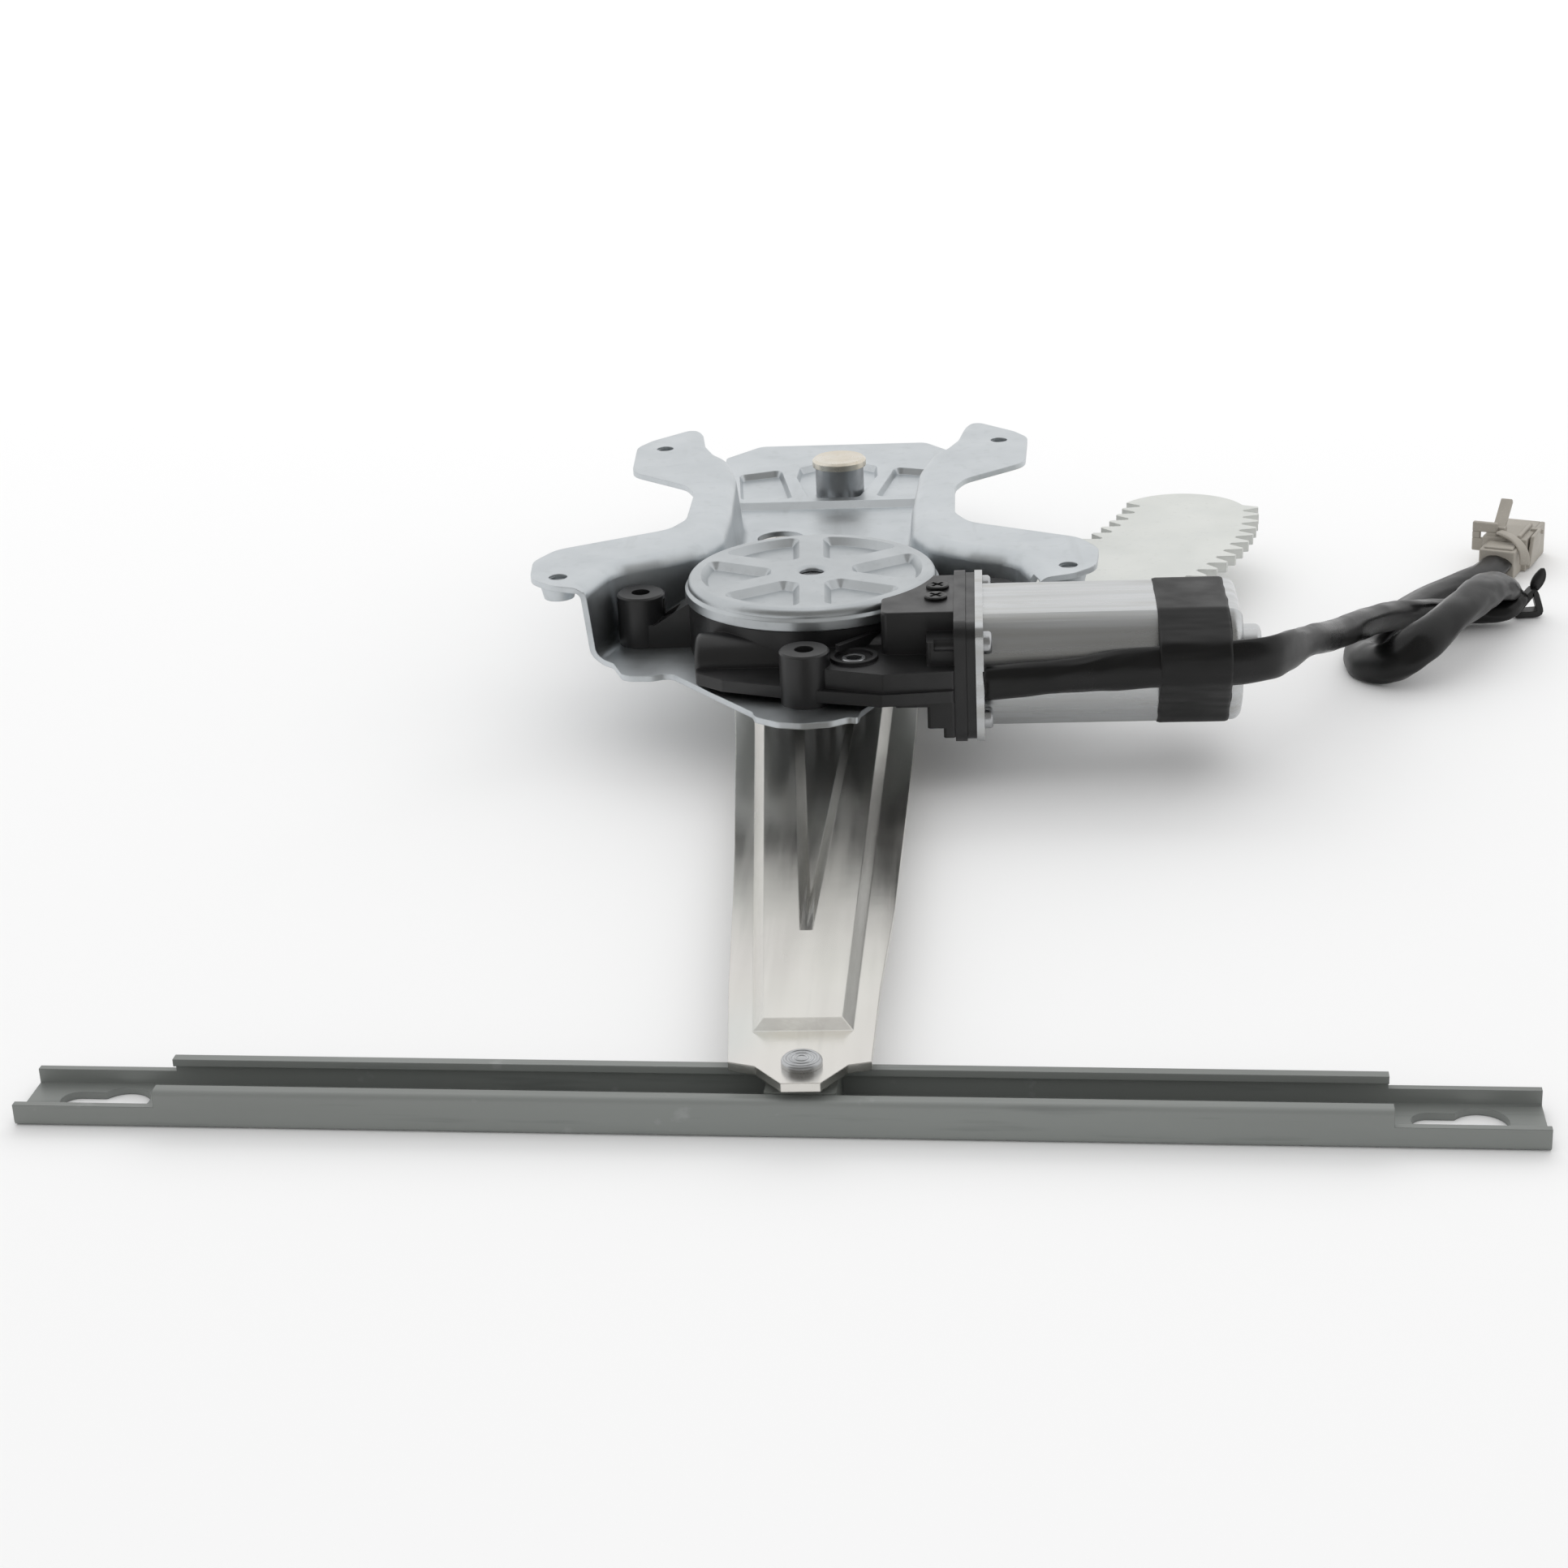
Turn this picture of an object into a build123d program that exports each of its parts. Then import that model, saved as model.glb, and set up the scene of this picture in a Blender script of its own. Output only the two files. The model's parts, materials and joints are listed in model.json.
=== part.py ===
"""Power window regulator: a pressed plate with a geared motor, a toothed sector and a lift arm,
and a guide block that slides in the glass channel. Millimetres, +Z up, +X along the motor.
The origin is midway between the two lower threaded ears, on their upper face."""
import os
from math import acos, asin, atan, atan2, cos, degrees, hypot, pi, radians, sin, tan

from build123d import *

# Pressed base plate
sheet = 1.6
ear_spacing_low = 136.6
ear_spacing_high = 102.4
ear_pitch_y = 125.0
thread_bore_r = 2.55
collar_r = 5.0
collar_drop = 4.0
collar_lip = 0.9
basin_depth = 20.0
wall_lean = 2.0
bend_r = 2.4
floor_bend_r = 3.0
corner_limit = 10.0
land_rise = 2.0
land_start_y = 123.0
floor_end_y = 189.0
sight_hole_r = 7.0

# Gear train: sector on the arm, pinion on the worm wheel
gear_module = 2.2
sector_teeth = 116
pinion_teeth = 10
pressure_angle = radians(25)
tooth_play = 0.3
sector_addendum = 2.0
root_gap = 0.5
sector_thick = 3.0
sector_drop = 26.2
sector_first_tooth = 28
sector_last_tooth = -3
sector_rivet_r = 3.0
blank_shift = 45.5
blank_shift_angle = radians(135)

# Pivot
pivot_x = 1.5
pivot_r = 5.0
running_gap = 0.05
pivot_head_r = 8.35
pivot_head_thick = 2.4
pivot_head_top = -8.0
pivot_head_edge = 0.7
pivot_foot_r = 5.5
pivot_foot_flange_r = 9.0
collar_tube_r = 7.5
bush_flange_r = 10.5
bush_flange_thick = 2.0

# Lift arm and stud
arm_sheet = 2.0
panel_rise = 2.0
arm_length = 361.6
arm_skew = radians(0.97)
stud_r = 3.5
stud_flange_r = 5.6
stud_flange_thick = 1.4
rivet_head_r = 4.2
rivet_head_thick = 1.4
arm_head_r = 27.0
panel_inset = 4.6
panel_slope = 50.0
wedge_slope = 52.0

# Glass channel and guide block
channel_length = 309.0
channel_width = 17.5
channel_height = 8.3
channel_sheet = 1.6
channel_lip = 3.2
channel_offset = -8.2
channel_turn = radians(-3.2)
cutback = 30.0
cutback_height = 4.8
keyhole_r = 5.65
keyhole_slot_r = 3.25
keyhole_length = 19.0
keyhole_inset = 16.5
block_length = 14.5
slide_gap = 0.3

# Gear housing and motor
motor_y = -26.3
motor_z = -15.0
can_r = 19.4
can_flat = 15.0
can_wall = 1.5
can_start = 45.4
can_end = 111.0
end_boss_r = 6.2
end_boss_length = 5.6
flange_face = 41.0
flange_thick = 3.0
brush_plate_thick = 2.4
yoke_flange_thick = 2.0
flange_near_y = -52.0
flange_far_y = -4.0
flange_top = 1.6
flange_bottom = -30.6
cover_r = 34.0
cover_top = 0.3
cover_rim = 5.6
cover_rim_step = 0.8
cover_sheet = 1.4
cover_dish = 2.0
cover_rib_half = 3.2
dish_inner_r = 10.8
dish_outer_r = 29.6
dish_slope = 42
dish_corner_r = 2.4
hub_hole_r = 3.2
hub_mouth_r = 4.6
bowl_r = 33.2
bowl_wall = 2.6
boss_r = 6.5
boss_bore_r = 2.5
boss_top = -6.0
gusset_low = -13.5
gusset_high = -7.5
gusset_wide = 7.6
axle_r = 4.2
shaft_sleeve_r = 8.0
shaft_r = 3.0
worm_r = 4.4
tunnel_start = -29.5
tunnel_r = 7.0
skirt_bottom = -18.4
skirt_top = -15.2
skirt_left = -29.0
ledge_top = -10.2
block_top = 1.0
block_left = 19.4
block_near_y = -39.5
block_far_y = -9.0
block_corner_r = 2.0
step_left = 31.0
step_near_y = -48.5
step_top = -4.0
insert_x = 12.4
insert_y = -41.4
insert_r = 3.2
insert_boss_r = 6.2
insert_rise = 0.9
insert_deep = 4.0
dish_turn = 3.0
yoke_screw_r = 1.9
commutator_r = 6.5
wheel_r = 21.6
armature_r = 13.0
magnet_thick = 3.4
core_start = 60.0
core_long = 36.0
winding_long = 6.0
wheel_thick = 8.0
wheel_web = 2.0
drive_plate_thick = 2.0
worm_wheel_teeth = 44

# Harness
harness_d = 8.0
tape_start = 89.5
tape_end = 107.5
tape_thick = 0.5
plug_high = 10.0
plug_mouth = 11.4
connector_x = 200.5
connector_y = 111.0
connector_turn = radians(-24)
clip_x = 211.1
clip_y = 86.0
clip_turn = 68.0
clip_r = 6.5

# Levels and places worked out from the sizes above
floor_top = -basin_depth
floor_under = floor_top - sheet
centre_distance = gear_module * (sector_teeth + pinion_teeth) / 2
pivot_y = (centre_distance ** 2 - pivot_x ** 2) ** 0.5
sector_r = gear_module * sector_teeth / 2
pinion_r = gear_module * pinion_teeth / 2
sector_tip_r = sector_r + sector_addendum
sector_root_r = sector_r - gear_module - root_gap
pinion_tip_r = pinion_r + gear_module
pinion_root_r = centre_distance - sector_tip_r - root_gap
panel_top = -sector_drop - sector_thick
rim_top = panel_top - panel_rise
rim_under = rim_top - arm_sheet
channel_top = rim_under - stud_flange_thick - 0.6
ground = channel_top - channel_height
arm_angle = -pi / 2 + arm_skew
stud_x = pivot_x + arm_length * cos(arm_angle)
stud_y = pivot_y + arm_length * sin(arm_angle)
mesh_angle = atan2(-pivot_y, -pivot_x)
boss_places = [(-46.7, 3.5), (0.0, -45.5), (47.5, 2.5)]
rivet_places = [(-12.0, 24.0), (12.0, 24.0), (14.0, 44.0)]
flange_wide = flange_far_y - flange_near_y
flange_high = flange_top - flange_bottom
flange_middle_y = (flange_far_y + flange_near_y) / 2
flange_middle_z = (flange_top + flange_bottom) / 2
yoke_screw_places = [(flange_near_y + 4.2, -4.5), (flange_near_y + 4.2, -24.5),
                     (flange_far_y - 3.2, -3.0), (flange_far_y - 3.2, -27.0)]
block_screw_places = [(33.8, -19.5), (33.4, -28.0)]
block_screw_r = 1.2
cavity_floor = floor_top + 1.8
drive_plate_under = cover_top - cover_sheet - 5.2
harness_y = motor_y - can_r - harness_d / 2 - 0.3
tape_z = motor_z + 4.6

os.makedirs("parts", exist_ok=True)


def finish(piece, name):
    """Label a finished piece and write it."""
    piece.part.label = name
    export_step(piece.part, f"parts/{name}.step")


def both_sides(right_half):
    """Points of a whole outline, counter-clockwise, from its +X half given from the far end to the near end."""
    left_half = [(-x, y) for x, y in right_half]
    return left_half + right_half[::-1]


def rounded(points, limit=corner_limit):
    """Closed line through points, its corners rounded as far as their edges and a limit allow."""
    corners = [Vector(*point) for point in points]
    radii = []
    for before, corner, after in zip(corners[-1:] + corners, corners, corners[1:] + corners[:1]):
        turn = radians((corner - before).get_angle(after - corner))
        room = 0.45 * min((corner - before).length, (after - corner).length)
        radii.append(min(limit, room / tan(turn / 2)))
    return FilletPolyline(*points, radius=radii, close=True)


def polar(radius, angle, centre=(0.0, 0.0)):
    """Point at a radius and an angle in radians about a centre."""
    return (centre[0] + radius * cos(angle), centre[1] + radius * sin(angle))


# The basin's rim, from the far end down the right side to the near end
basin_rim = [(41.0, 200.0), (40.0, 143.0), (37.0, 127.0), (30.5, 112.0), (27.6, 97.0), (26.0, 61.0),
             (26.4, 36.0), (31.5, 24.0), (42.0, 16.6), (54.5, 10.0), (60.0, -8.0), (61.0, -80.0)]

# The raised frame with its four ears, down the right side
frame_edge = [(26.0, 112.0), (35.0, 114.0), (39.0, 127.0), (41.0, 143.0), (45.0, 145.8), (56.0, 134.4),
              (60.0, 127.0), (58.8, 100.0), (41.0, 84.0), (38.0, 76.0), (38.0, 50.0), (42.0, 41.0),
              (72.0, 24.2), (77.0, 14.0), (75.8, -1.0), (69.0, -7.6), (60.0, -10.8), (55.0, -5.0), (46.0, 6.0),
              (30.0, 16.0)]

# The blank of the basin's floor: the right side is cut away for the motor
floor_edge = [(-26.5, floor_end_y), (-37.0, 176.0), (-36.0, 137.0), (-46.0, 118.0), (-66.0, 60.0),
              (-66.0, -9.0), (-58.0, -9.0), (-53.0, -14.0), (-49.5, -24.0), (-41.7, -24.4), (-37.0, -22.4),
              (-25.0, -38.0), (-13.2, -53.0), (-12.6, -56.2), (-6.5, -60.4), (0.0, -61.8), (7.0, -60.6),
              (11.4, -57.8), (13.6, -58.8), (14.2, -54.0), (25.0, -31.0), (31.0, -3.0), (66.0, -3.0),
              (66.0, 60.0), (46.0, 118.0), (36.0, 137.0), (37.0, 176.0), (27.5, floor_end_y)]

# The lift arm, its raised panel and the sunk wedge: down the left side, round the tip, up the right
arm_edge = [(-25.5, 138.0), (-24.0, 20.0), (-18.9, -42.0), (-13.9, -113.8), (-12.2, -141.6),
            (stud_x - 17.4, stud_y + 35.4), (stud_x - 15.0, stud_y + 1.2), (stud_x - 9.4, stud_y - 0.8),
            (stud_x - 3.8, stud_y - 8.2), (stud_x + 4.0, stud_y - 8.2), (stud_x + 9.3, stud_y - 0.6),
            (stud_x + 14.0, stud_y + 0.6), (stud_x + 14.9, stud_y + 34.4), (24.6, -149.7), (27.6, -42.0),
            (28.5, 20.0), (28.5, 138.0)]
panel_edge = [(-21.4, 138.0), (-20.6, 20.0), (-16.2, -42.0), (stud_x - 13.2, stud_y + 12.0),
              (stud_x + 12.2, stud_y + 12.0), (23.2, -42.0), (24.4, 20.0), (24.4, 138.0)]
wedge_edge = [(-5.6, 8.0), (-3.6, -42.0), (4.2, -164.0), (7.0, -164.0), (11.7, -42.0), (13.6, 8.0)]

# Centre line of the harness: along the can, down to the ground, a folded loop and straight into the plug
plug_lead_in = 13.0
harness_points = [(45.4, -50.3, -15.0), (58.0, -50.3, -15.0), (70.0, -50.2, -12.6), (83.0, harness_y, tape_z),
                  (115.0, harness_y, tape_z), (124.0, -38.5, -11.5), (130.0, -20.0, -15.5), (139.0, 2.0, -22.5),
                  (149.0, 22.0, -27.6), (160.0, 41.0, -30.6), (171.0, 56.0, -36.0), (184.0, 66.0, -39.2),
                  (195.5, 70.0, -39.2), (202.0, 78.5, -39.0), (202.0, 88.5, -37.0), (196.0, 93.0, -33.5),
                  (190.5, 83.0, -30.0), (188.0, 68.0, -28.4), (181.0, 53.5, -28.4), (172.5, 39.5, -31.0),
                  (163.0, 29.0, -36.4), (153.0, 23.5, -39.2), (145.0, 28.0, -39.2), (147.0, 42.0, -39.2),
                  (160.0, 66.0, -39.2), (177.0, 88.0, -39.2),
                  (connector_x + plug_lead_in * sin(connector_turn),
                   connector_y - plug_lead_in * cos(connector_turn), -39.2),
                  (connector_x, connector_y, -39.2)]

# One pocket of the land, and the recess round the pivot
pocket_edge = [(12.8, 128.4), (29.0, 128.4), (31.4, 156.0), (18.2, 161.0)]
recess_edge = [(5.0, 168.5), (12.4, 162.5), (12.9, 152.0), (7.8, 128.4)]
pocket_corner = 2.4


def basin_block(depth, grow, bend, floor_bend):
    """Block with the basin's outline under a wide slab, its corners rounded as a press rounds sheet."""
    with BuildPart() as block:
        with BuildSketch(Plane.XY):
            with BuildLine():
                rounded(both_sides(basin_rim))
            make_face()
            if grow:
                offset(amount=grow)
        extrude(amount=-depth, taper=degrees(atan(wall_lean / basin_depth)))
        fillet(block.faces().sort_by(Axis.Z)[0].edges(), floor_bend)
        with BuildSketch(Plane.XY.offset(-grow)):
            with Locations((0, 60)):
                Rectangle(200, 400)
        extrude(amount=10)
        slab_under = block.faces().filter_by(Axis.Z).sort_by(SortBy.AREA)[-2:].sort_by(Axis.Z)[0]
        fillet(slab_under.inner_wires()[0].edges(), bend)
    return block.part


def land_block(lift):
    """What fills the far end of the basin up to the land, with a sloped near edge."""
    with BuildPart() as block:
        with BuildSketch(Plane.YZ.offset(-70)):
            with BuildLine():
                Polyline((land_start_y, floor_top - 5), (land_start_y, floor_top + lift),
                         (land_start_y + land_rise, floor_top + land_rise + lift),
                         (floor_end_y + 30, floor_top + land_rise + lift),
                         (floor_end_y + 30, floor_top - 5), close=True)
            make_face()
        extrude(amount=140)
    return block.part


def base_plate_piece():
    """Pressed plate: a frame with four ears round a deep basin."""
    with BuildPart() as room:
        add(basin_block(basin_depth, 0.0, bend_r + sheet, floor_bend_r))
        add(land_block(0.0), mode=Mode.SUBTRACT)
    with BuildPart() as under:
        add(land_block(-sheet))
        with BuildSketch(Plane.XY.offset(floor_under - 6)):
            Rectangle(160, 400)
        extrude(amount=6, mode=Mode.SUBTRACT)
    # the blank's outline: the frame on top, the floor and the walls below it
    with BuildPart() as blank:
        with BuildSketch(Plane.XY.offset(floor_under - 2)):
            with BuildLine():
                rounded(floor_edge, 4.0)
            make_face()
        extrude(amount=basin_depth + 2)
        with BuildSketch(Plane.XY.offset(-sheet)):
            with BuildLine():
                rounded(both_sides(frame_edge))
            make_face()
        extrude(amount=sheet)
    with BuildPart() as plate:
        add(basin_block(basin_depth + sheet, sheet, bend_r, floor_bend_r + sheet))
        add(under.part, mode=Mode.SUBTRACT)
        add(blank.part, mode=Mode.INTERSECT)
        add(room.part, mode=Mode.SUBTRACT)
        # the side walls run out beyond the upper ears
        with BuildSketch(Plane.YZ.offset(-50)):
            with BuildLine():
                Polyline((117.0, -sheet), (133.0, floor_top + land_rise),
                         (220.0, floor_top + land_rise), (220.0, -sheet), close=True)
            make_face()
        extrude(amount=100, mode=Mode.SUBTRACT)
        # pockets and pivot recess pressed back down to the basin's level
        dents = [pocket_edge, [(-x, y) for x, y in reversed(pocket_edge)], both_sides(recess_edge)]
        for dent in dents:
            with BuildSketch(Plane.XY.offset(floor_under)):
                with BuildLine():
                    rounded(dent, pocket_corner)
                make_face()
                offset(amount=sheet)
            extrude(amount=land_rise + sheet / 2)
        for dent in dents:
            with BuildSketch(Plane.XY.offset(floor_top + land_rise)):
                with BuildLine():
                    rounded(dent, pocket_corner)
                make_face()
            extrude(amount=-land_rise, taper=25, mode=Mode.SUBTRACT)
        # holes for the pivot's tube, the pinion, the sight hole and the gear unit's screws
        with BuildSketch(Plane.XY.offset(floor_under - 1)):
            with Locations((pivot_x, pivot_y)):
                Circle(collar_tube_r)
            Circle(pinion_tip_r + 3.0)
            with Locations((-14.6, 94.0)):
                Circle(sight_hole_r)
            with Locations(*boss_places):
                Circle(boss_bore_r)
        extrude(amount=sheet + land_rise + 2, mode=Mode.SUBTRACT)
        # threaded ears with their drawn collars
        ears = [(side * ear_spacing_low / 2, 0.0) for side in (1, -1)]
        ears += [(side * ear_spacing_high / 2, ear_pitch_y) for side in (1, -1)]
        with Locations(*[(x, y, -sheet) for x, y in ears]):
            Cone(collar_r - collar_lip, collar_r, collar_drop, align=(Align.CENTER, Align.CENTER, Align.MAX))
        with Locations(*[(x, y, 0) for x, y in ears]):
            Hole(thread_bore_r)
    return plate


def tooth_outline(first, last):
    """Points of the sector's toothed edge about the pivot, from tooth first down to tooth last."""
    pitch_angle = 2 * pi / sector_teeth
    flank_half = pi * gear_module / 4 - tooth_play / 2
    tip_half = (flank_half - sector_addendum * tan(pressure_angle)) / sector_r
    root_half = (flank_half + (sector_r - sector_root_r) * tan(pressure_angle)) / sector_r
    points = []
    for tooth in range(first, last - 1, -1):
        middle = mesh_angle + (tooth + 0.5) * pitch_angle
        points.append(polar(sector_root_r, middle + root_half, (pivot_x, pivot_y)))
        points.append(polar(sector_tip_r, middle + tip_half, (pivot_x, pivot_y)))
        points.append(polar(sector_tip_r, middle - tip_half, (pivot_x, pivot_y)))
        points.append(polar(sector_root_r, middle - root_half, (pivot_x, pivot_y)))
    return points


def sector_gear_piece():
    """Toothed sector, blanked so that its inner edge is the outer edge of the next one."""
    outer = tooth_outline(sector_first_tooth, sector_last_tooth)
    shift = polar(blank_shift, blank_shift_angle)
    next_blank = tooth_outline(sector_first_tooth - 4, sector_last_tooth + 4)
    inner = [(x + shift[0], y + shift[1]) for x, y in next_blank]
    with BuildPart() as gear:
        with BuildSketch(Plane.XY.offset(panel_top)):
            with BuildLine():
                edge = Polyline(*outer)
                back = Polyline(*reversed(inner))
                far_tip = ((edge @ 0).X - 6.5, (edge @ 0).Y + 9.5)
                ThreePointArc(back @ 1, far_tip, edge @ 0)
                near_tip = ((edge @ 1).X - 5.0, (edge @ 1).Y + 1.0)
                Polyline(edge @ 1, near_tip, back @ 0)
            make_face()
        extrude(amount=sector_thick)
        with Locations(*[(x, y, panel_top + sector_thick) for x, y in rivet_places]):
            Hole(sector_rivet_r)
    return gear


def pinion_outline():
    """Points of the pinion's involute teeth, with one tooth facing the pivot."""
    base_r = pinion_r * cos(pressure_angle)
    base_involute = tan(pressure_angle) - pressure_angle
    half_pitch = pi / (2 * pinion_teeth) - tooth_play / 2 / pinion_r
    flank = []
    for step in range(5):
        radius = base_r + (pinion_tip_r - base_r) * step / 4
        roll = acos(base_r / radius)
        flank.append((radius, half_pitch + base_involute - (tan(roll) - roll)))
    points = []
    for tooth in range(pinion_teeth):
        middle = mesh_angle + pi + 2 * pi * tooth / pinion_teeth
        points.append(polar(pinion_root_r, middle - flank[0][1]))
        points += [polar(radius, middle - half) for radius, half in flank]
        points += [polar(radius, middle + half) for radius, half in reversed(flank)]
        points.append(polar(pinion_root_r, middle + flank[0][1]))
    return points


def output_pinion_piece():
    """Pinion with its hollow shaft, turning on the fixed axle."""
    with BuildPart() as pinion:
        with BuildSketch(Plane.XY.offset(panel_top + root_gap)):
            with BuildLine():
                Polyline(*pinion_outline(), close=True)
            make_face()
        extrude(amount=floor_top - root_gap - panel_top - root_gap)
        with BuildSketch(Plane.XY.offset(floor_top - root_gap)):
            Circle(shaft_sleeve_r)
        extrude(amount=drive_plate_under - floor_top + root_gap)
        with Locations((0, 0, drive_plate_under)):
            Hole(axle_r + running_gap)
    return pinion


def round_piece(radius, bottom, top, centre=(0.0, 0.0), bore=0.0, edge=0.0):
    """Upright round piece, with a bore and broken edges if asked."""
    with BuildPart() as piece:
        with BuildSketch(Plane.XY.offset(bottom)):
            with Locations(centre):
                Circle(radius)
                if bore:
                    Circle(bore, mode=Mode.SUBTRACT)
        extrude(amount=top - bottom)
        if edge:
            chamfer(piece.faces().sort_by(Axis.Z)[-1].outer_wire().edges(), edge)
    return piece


def bar_along_x(radius, start, end, bore=0.0):
    """Round piece on the motor's axis."""
    with BuildPart() as piece:
        with BuildSketch(Plane.YZ.offset(start)):
            with Locations((motor_y, motor_z)):
                Circle(radius)
                if bore:
                    Circle(bore, mode=Mode.SUBTRACT)
        extrude(amount=end - start)
    return piece


def can_outline(grow):
    """Flat-sided round of the motor can, grown by an amount, in the current sketch."""
    with Locations((motor_y, motor_z)):
        Circle(can_r + grow)
        Rectangle(3 * can_r, 2 * (can_flat + grow), mode=Mode.INTERSECT)


def motor_can_piece():
    """Drawn steel can with flat top and bottom, an end boss and a mounting flange."""
    with BuildPart() as can:
        with BuildSketch(Plane.YZ.offset(can_start)):
            can_outline(0.0)
        extrude(amount=can_end - can_start)
        fillet(can.faces().sort_by(Axis.X)[-1].edges(), 3.0)
        with BuildSketch(Plane.YZ.offset(can_end)):
            with Locations((motor_y, motor_z)):
                Circle(end_boss_r)
        extrude(amount=end_boss_length)
        fillet(can.faces().sort_by(Axis.X)[-1].edges(), 1.5)
        with BuildSketch(Plane.YZ.offset(can_start - yoke_flange_thick)):
            with Locations((flange_middle_y, flange_middle_z)):
                RectangleRounded(flange_wide, flange_high, 4.0)
        extrude(amount=yoke_flange_thick)
        with BuildSketch(Plane.YZ.offset(can_start - yoke_flange_thick)):
            can_outline(-can_wall)
        extrude(amount=can_end - can_wall - can_start + yoke_flange_thick, mode=Mode.SUBTRACT)
        with BuildSketch(Plane.YZ.offset(can_end - can_wall - 1)):
            with Locations((motor_y, motor_z)):
                Circle(end_boss_r - can_wall)
        extrude(amount=end_boss_length + 1, mode=Mode.SUBTRACT)
        with BuildSketch(Plane.YZ.offset(can_start - yoke_flange_thick)):
            with Locations(*yoke_screw_places):
                Circle(yoke_screw_r)
        extrude(amount=yoke_flange_thick, mode=Mode.SUBTRACT)
    return can


def brush_plate_piece():
    """Moulded plate between housing and can that carries the brushes and the leads."""
    with BuildPart() as plate:
        with BuildSketch(Plane.YZ.offset(flange_face)):
            with Locations((flange_middle_y, flange_middle_z)):
                RectangleRounded(flange_wide - 1.0, flange_high - 1.0, 4.0)
            with Locations((motor_y, motor_z)):
                Circle(commutator_r + 3.9, mode=Mode.SUBTRACT)
            with Locations(*yoke_screw_places):
                Circle(yoke_screw_r, mode=Mode.SUBTRACT)
        extrude(amount=brush_plate_thick)
    return plate


def magnets_piece():
    """Two curved magnets against the round sides of the can."""
    with BuildPart() as magnets:
        with BuildSketch(Plane.YZ.offset(can_start + 14)):
            with Locations((motor_y, motor_z)):
                Circle(can_r - can_wall)
                Circle(can_r - can_wall - magnet_thick, mode=Mode.SUBTRACT)
                Rectangle(3 * can_r, 2 * (can_flat - can_wall) - 6, mode=Mode.INTERSECT)
        extrude(amount=38)
    return magnets


def screws_along_x(places, head_start, head_r, head_high, shank_r, shank_length, facing):
    """Pan-head screws along X, their heads at head_start and standing to the facing side."""
    with BuildPart() as screws:
        with BuildSketch(Plane.YZ.offset(head_start)):
            with Locations(*places):
                Circle(head_r)
        extrude(amount=facing * head_high)
        rims = screws.faces().filter_by(Axis.X).group_by(Axis.X)[-1 if facing > 0 else 0]
        fillet(rims.edges(), head_high * 0.45)
        with BuildSketch(Plane.YZ.offset(head_start)):
            with Locations(*places):
                Circle(shank_r)
        extrude(amount=-facing * shank_length)
    return screws


def screws_upright(places, seat, head_r, head_high, shank_r, shank_length, facing, slot=0.0):
    """Screws along Z, seated at a level, with heads that stand up or down."""
    with BuildPart() as screws:
        with BuildSketch(Plane.XY.offset(seat)):
            with Locations(*places):
                Circle(head_r)
        extrude(amount=facing * head_high)
        rims = screws.faces().filter_by(Axis.Z).group_by(Axis.Z)[-1 if facing > 0 else 0]
        chamfer(rims.edges(), head_high * 0.3)
        if slot:
            with BuildSketch(Plane.XY.offset(seat + facing * head_high)):
                with Locations(*places):
                    Rectangle(head_r * 1.3, slot, 45)
                    Rectangle(head_r * 1.3, slot, -45)
            extrude(amount=-facing * head_high * 0.5, mode=Mode.SUBTRACT)
        with BuildSketch(Plane.XY.offset(seat)):
            with Locations(*places):
                Circle(shank_r)
        extrude(amount=-facing * shank_length)
    return screws


def dish_line(turn):
    """Wedge between two ribs of the cover, in the current line."""
    half_inner = radians(30) - asin(cover_rib_half / dish_inner_r)
    half_outer = radians(30) - asin(cover_rib_half / dish_outer_r)
    corners = [polar(dish_inner_r, turn - half_inner), polar(dish_outer_r, turn - half_outer),
               polar(dish_outer_r, turn + half_outer), polar(dish_inner_r, turn + half_inner)]
    Line(corners[0], corners[1])
    ThreePointArc(corners[1], polar(dish_outer_r, turn), corners[2])
    Line(corners[2], corners[3])
    ThreePointArc(corners[3], polar(dish_inner_r, turn), corners[0])


def housing_cover_piece():
    """Pressed round cover with a stepped rim, a soft-mouthed hub hole and six wedge-shaped dishes."""
    top = cover_top
    foot = cover_top - cover_rim
    step = foot + cover_rim / 2
    upper_r = cover_r - cover_rim_step
    with BuildPart() as cover:
        with BuildSketch(Plane.XZ):
            with BuildLine():
                Polyline((hub_mouth_r, top), (upper_r - 2.0, top))
                JernArc((upper_r - 2.0, top), (1, 0), 2.0, -90)
                Polyline((upper_r, top - 2.0), (upper_r, step + 0.4), (cover_r, step - 0.4), (cover_r, foot),
                         (cover_r - 1.0, foot), (cover_r - 1.0, step - 0.8), (upper_r - 1.0, step),
                         (upper_r - 1.0, top - 2.2), (upper_r - 2.0, top - cover_sheet),
                         (hub_hole_r, top - cover_sheet), (hub_hole_r, top - cover_sheet / 2))
                ThreePointArc((hub_hole_r, top - cover_sheet / 2),
                              (hub_hole_r + 0.35, top - cover_sheet / 4), (hub_mouth_r, top))
            make_face()
        revolve(axis=Axis.Z)
        for count in range(6):
            with BuildSketch(Plane.XY.offset(top - cover_sheet / 2)):
                with BuildLine():
                    dish_line(radians(dish_turn + 60 * count))
                make_face()
                fillet(vertices(), dish_corner_r)
                offset(amount=0.3)
            extrude(amount=-cover_dish - cover_sheet / 2, taper=dish_slope)
        for count in range(6):
            with BuildSketch(Plane.XY.offset(top)):
                with BuildLine():
                    dish_line(radians(dish_turn + 60 * count))
                make_face()
                fillet(vertices(), dish_corner_r)
            extrude(amount=-cover_dish, taper=dish_slope, mode=Mode.SUBTRACT)
    return cover


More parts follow.
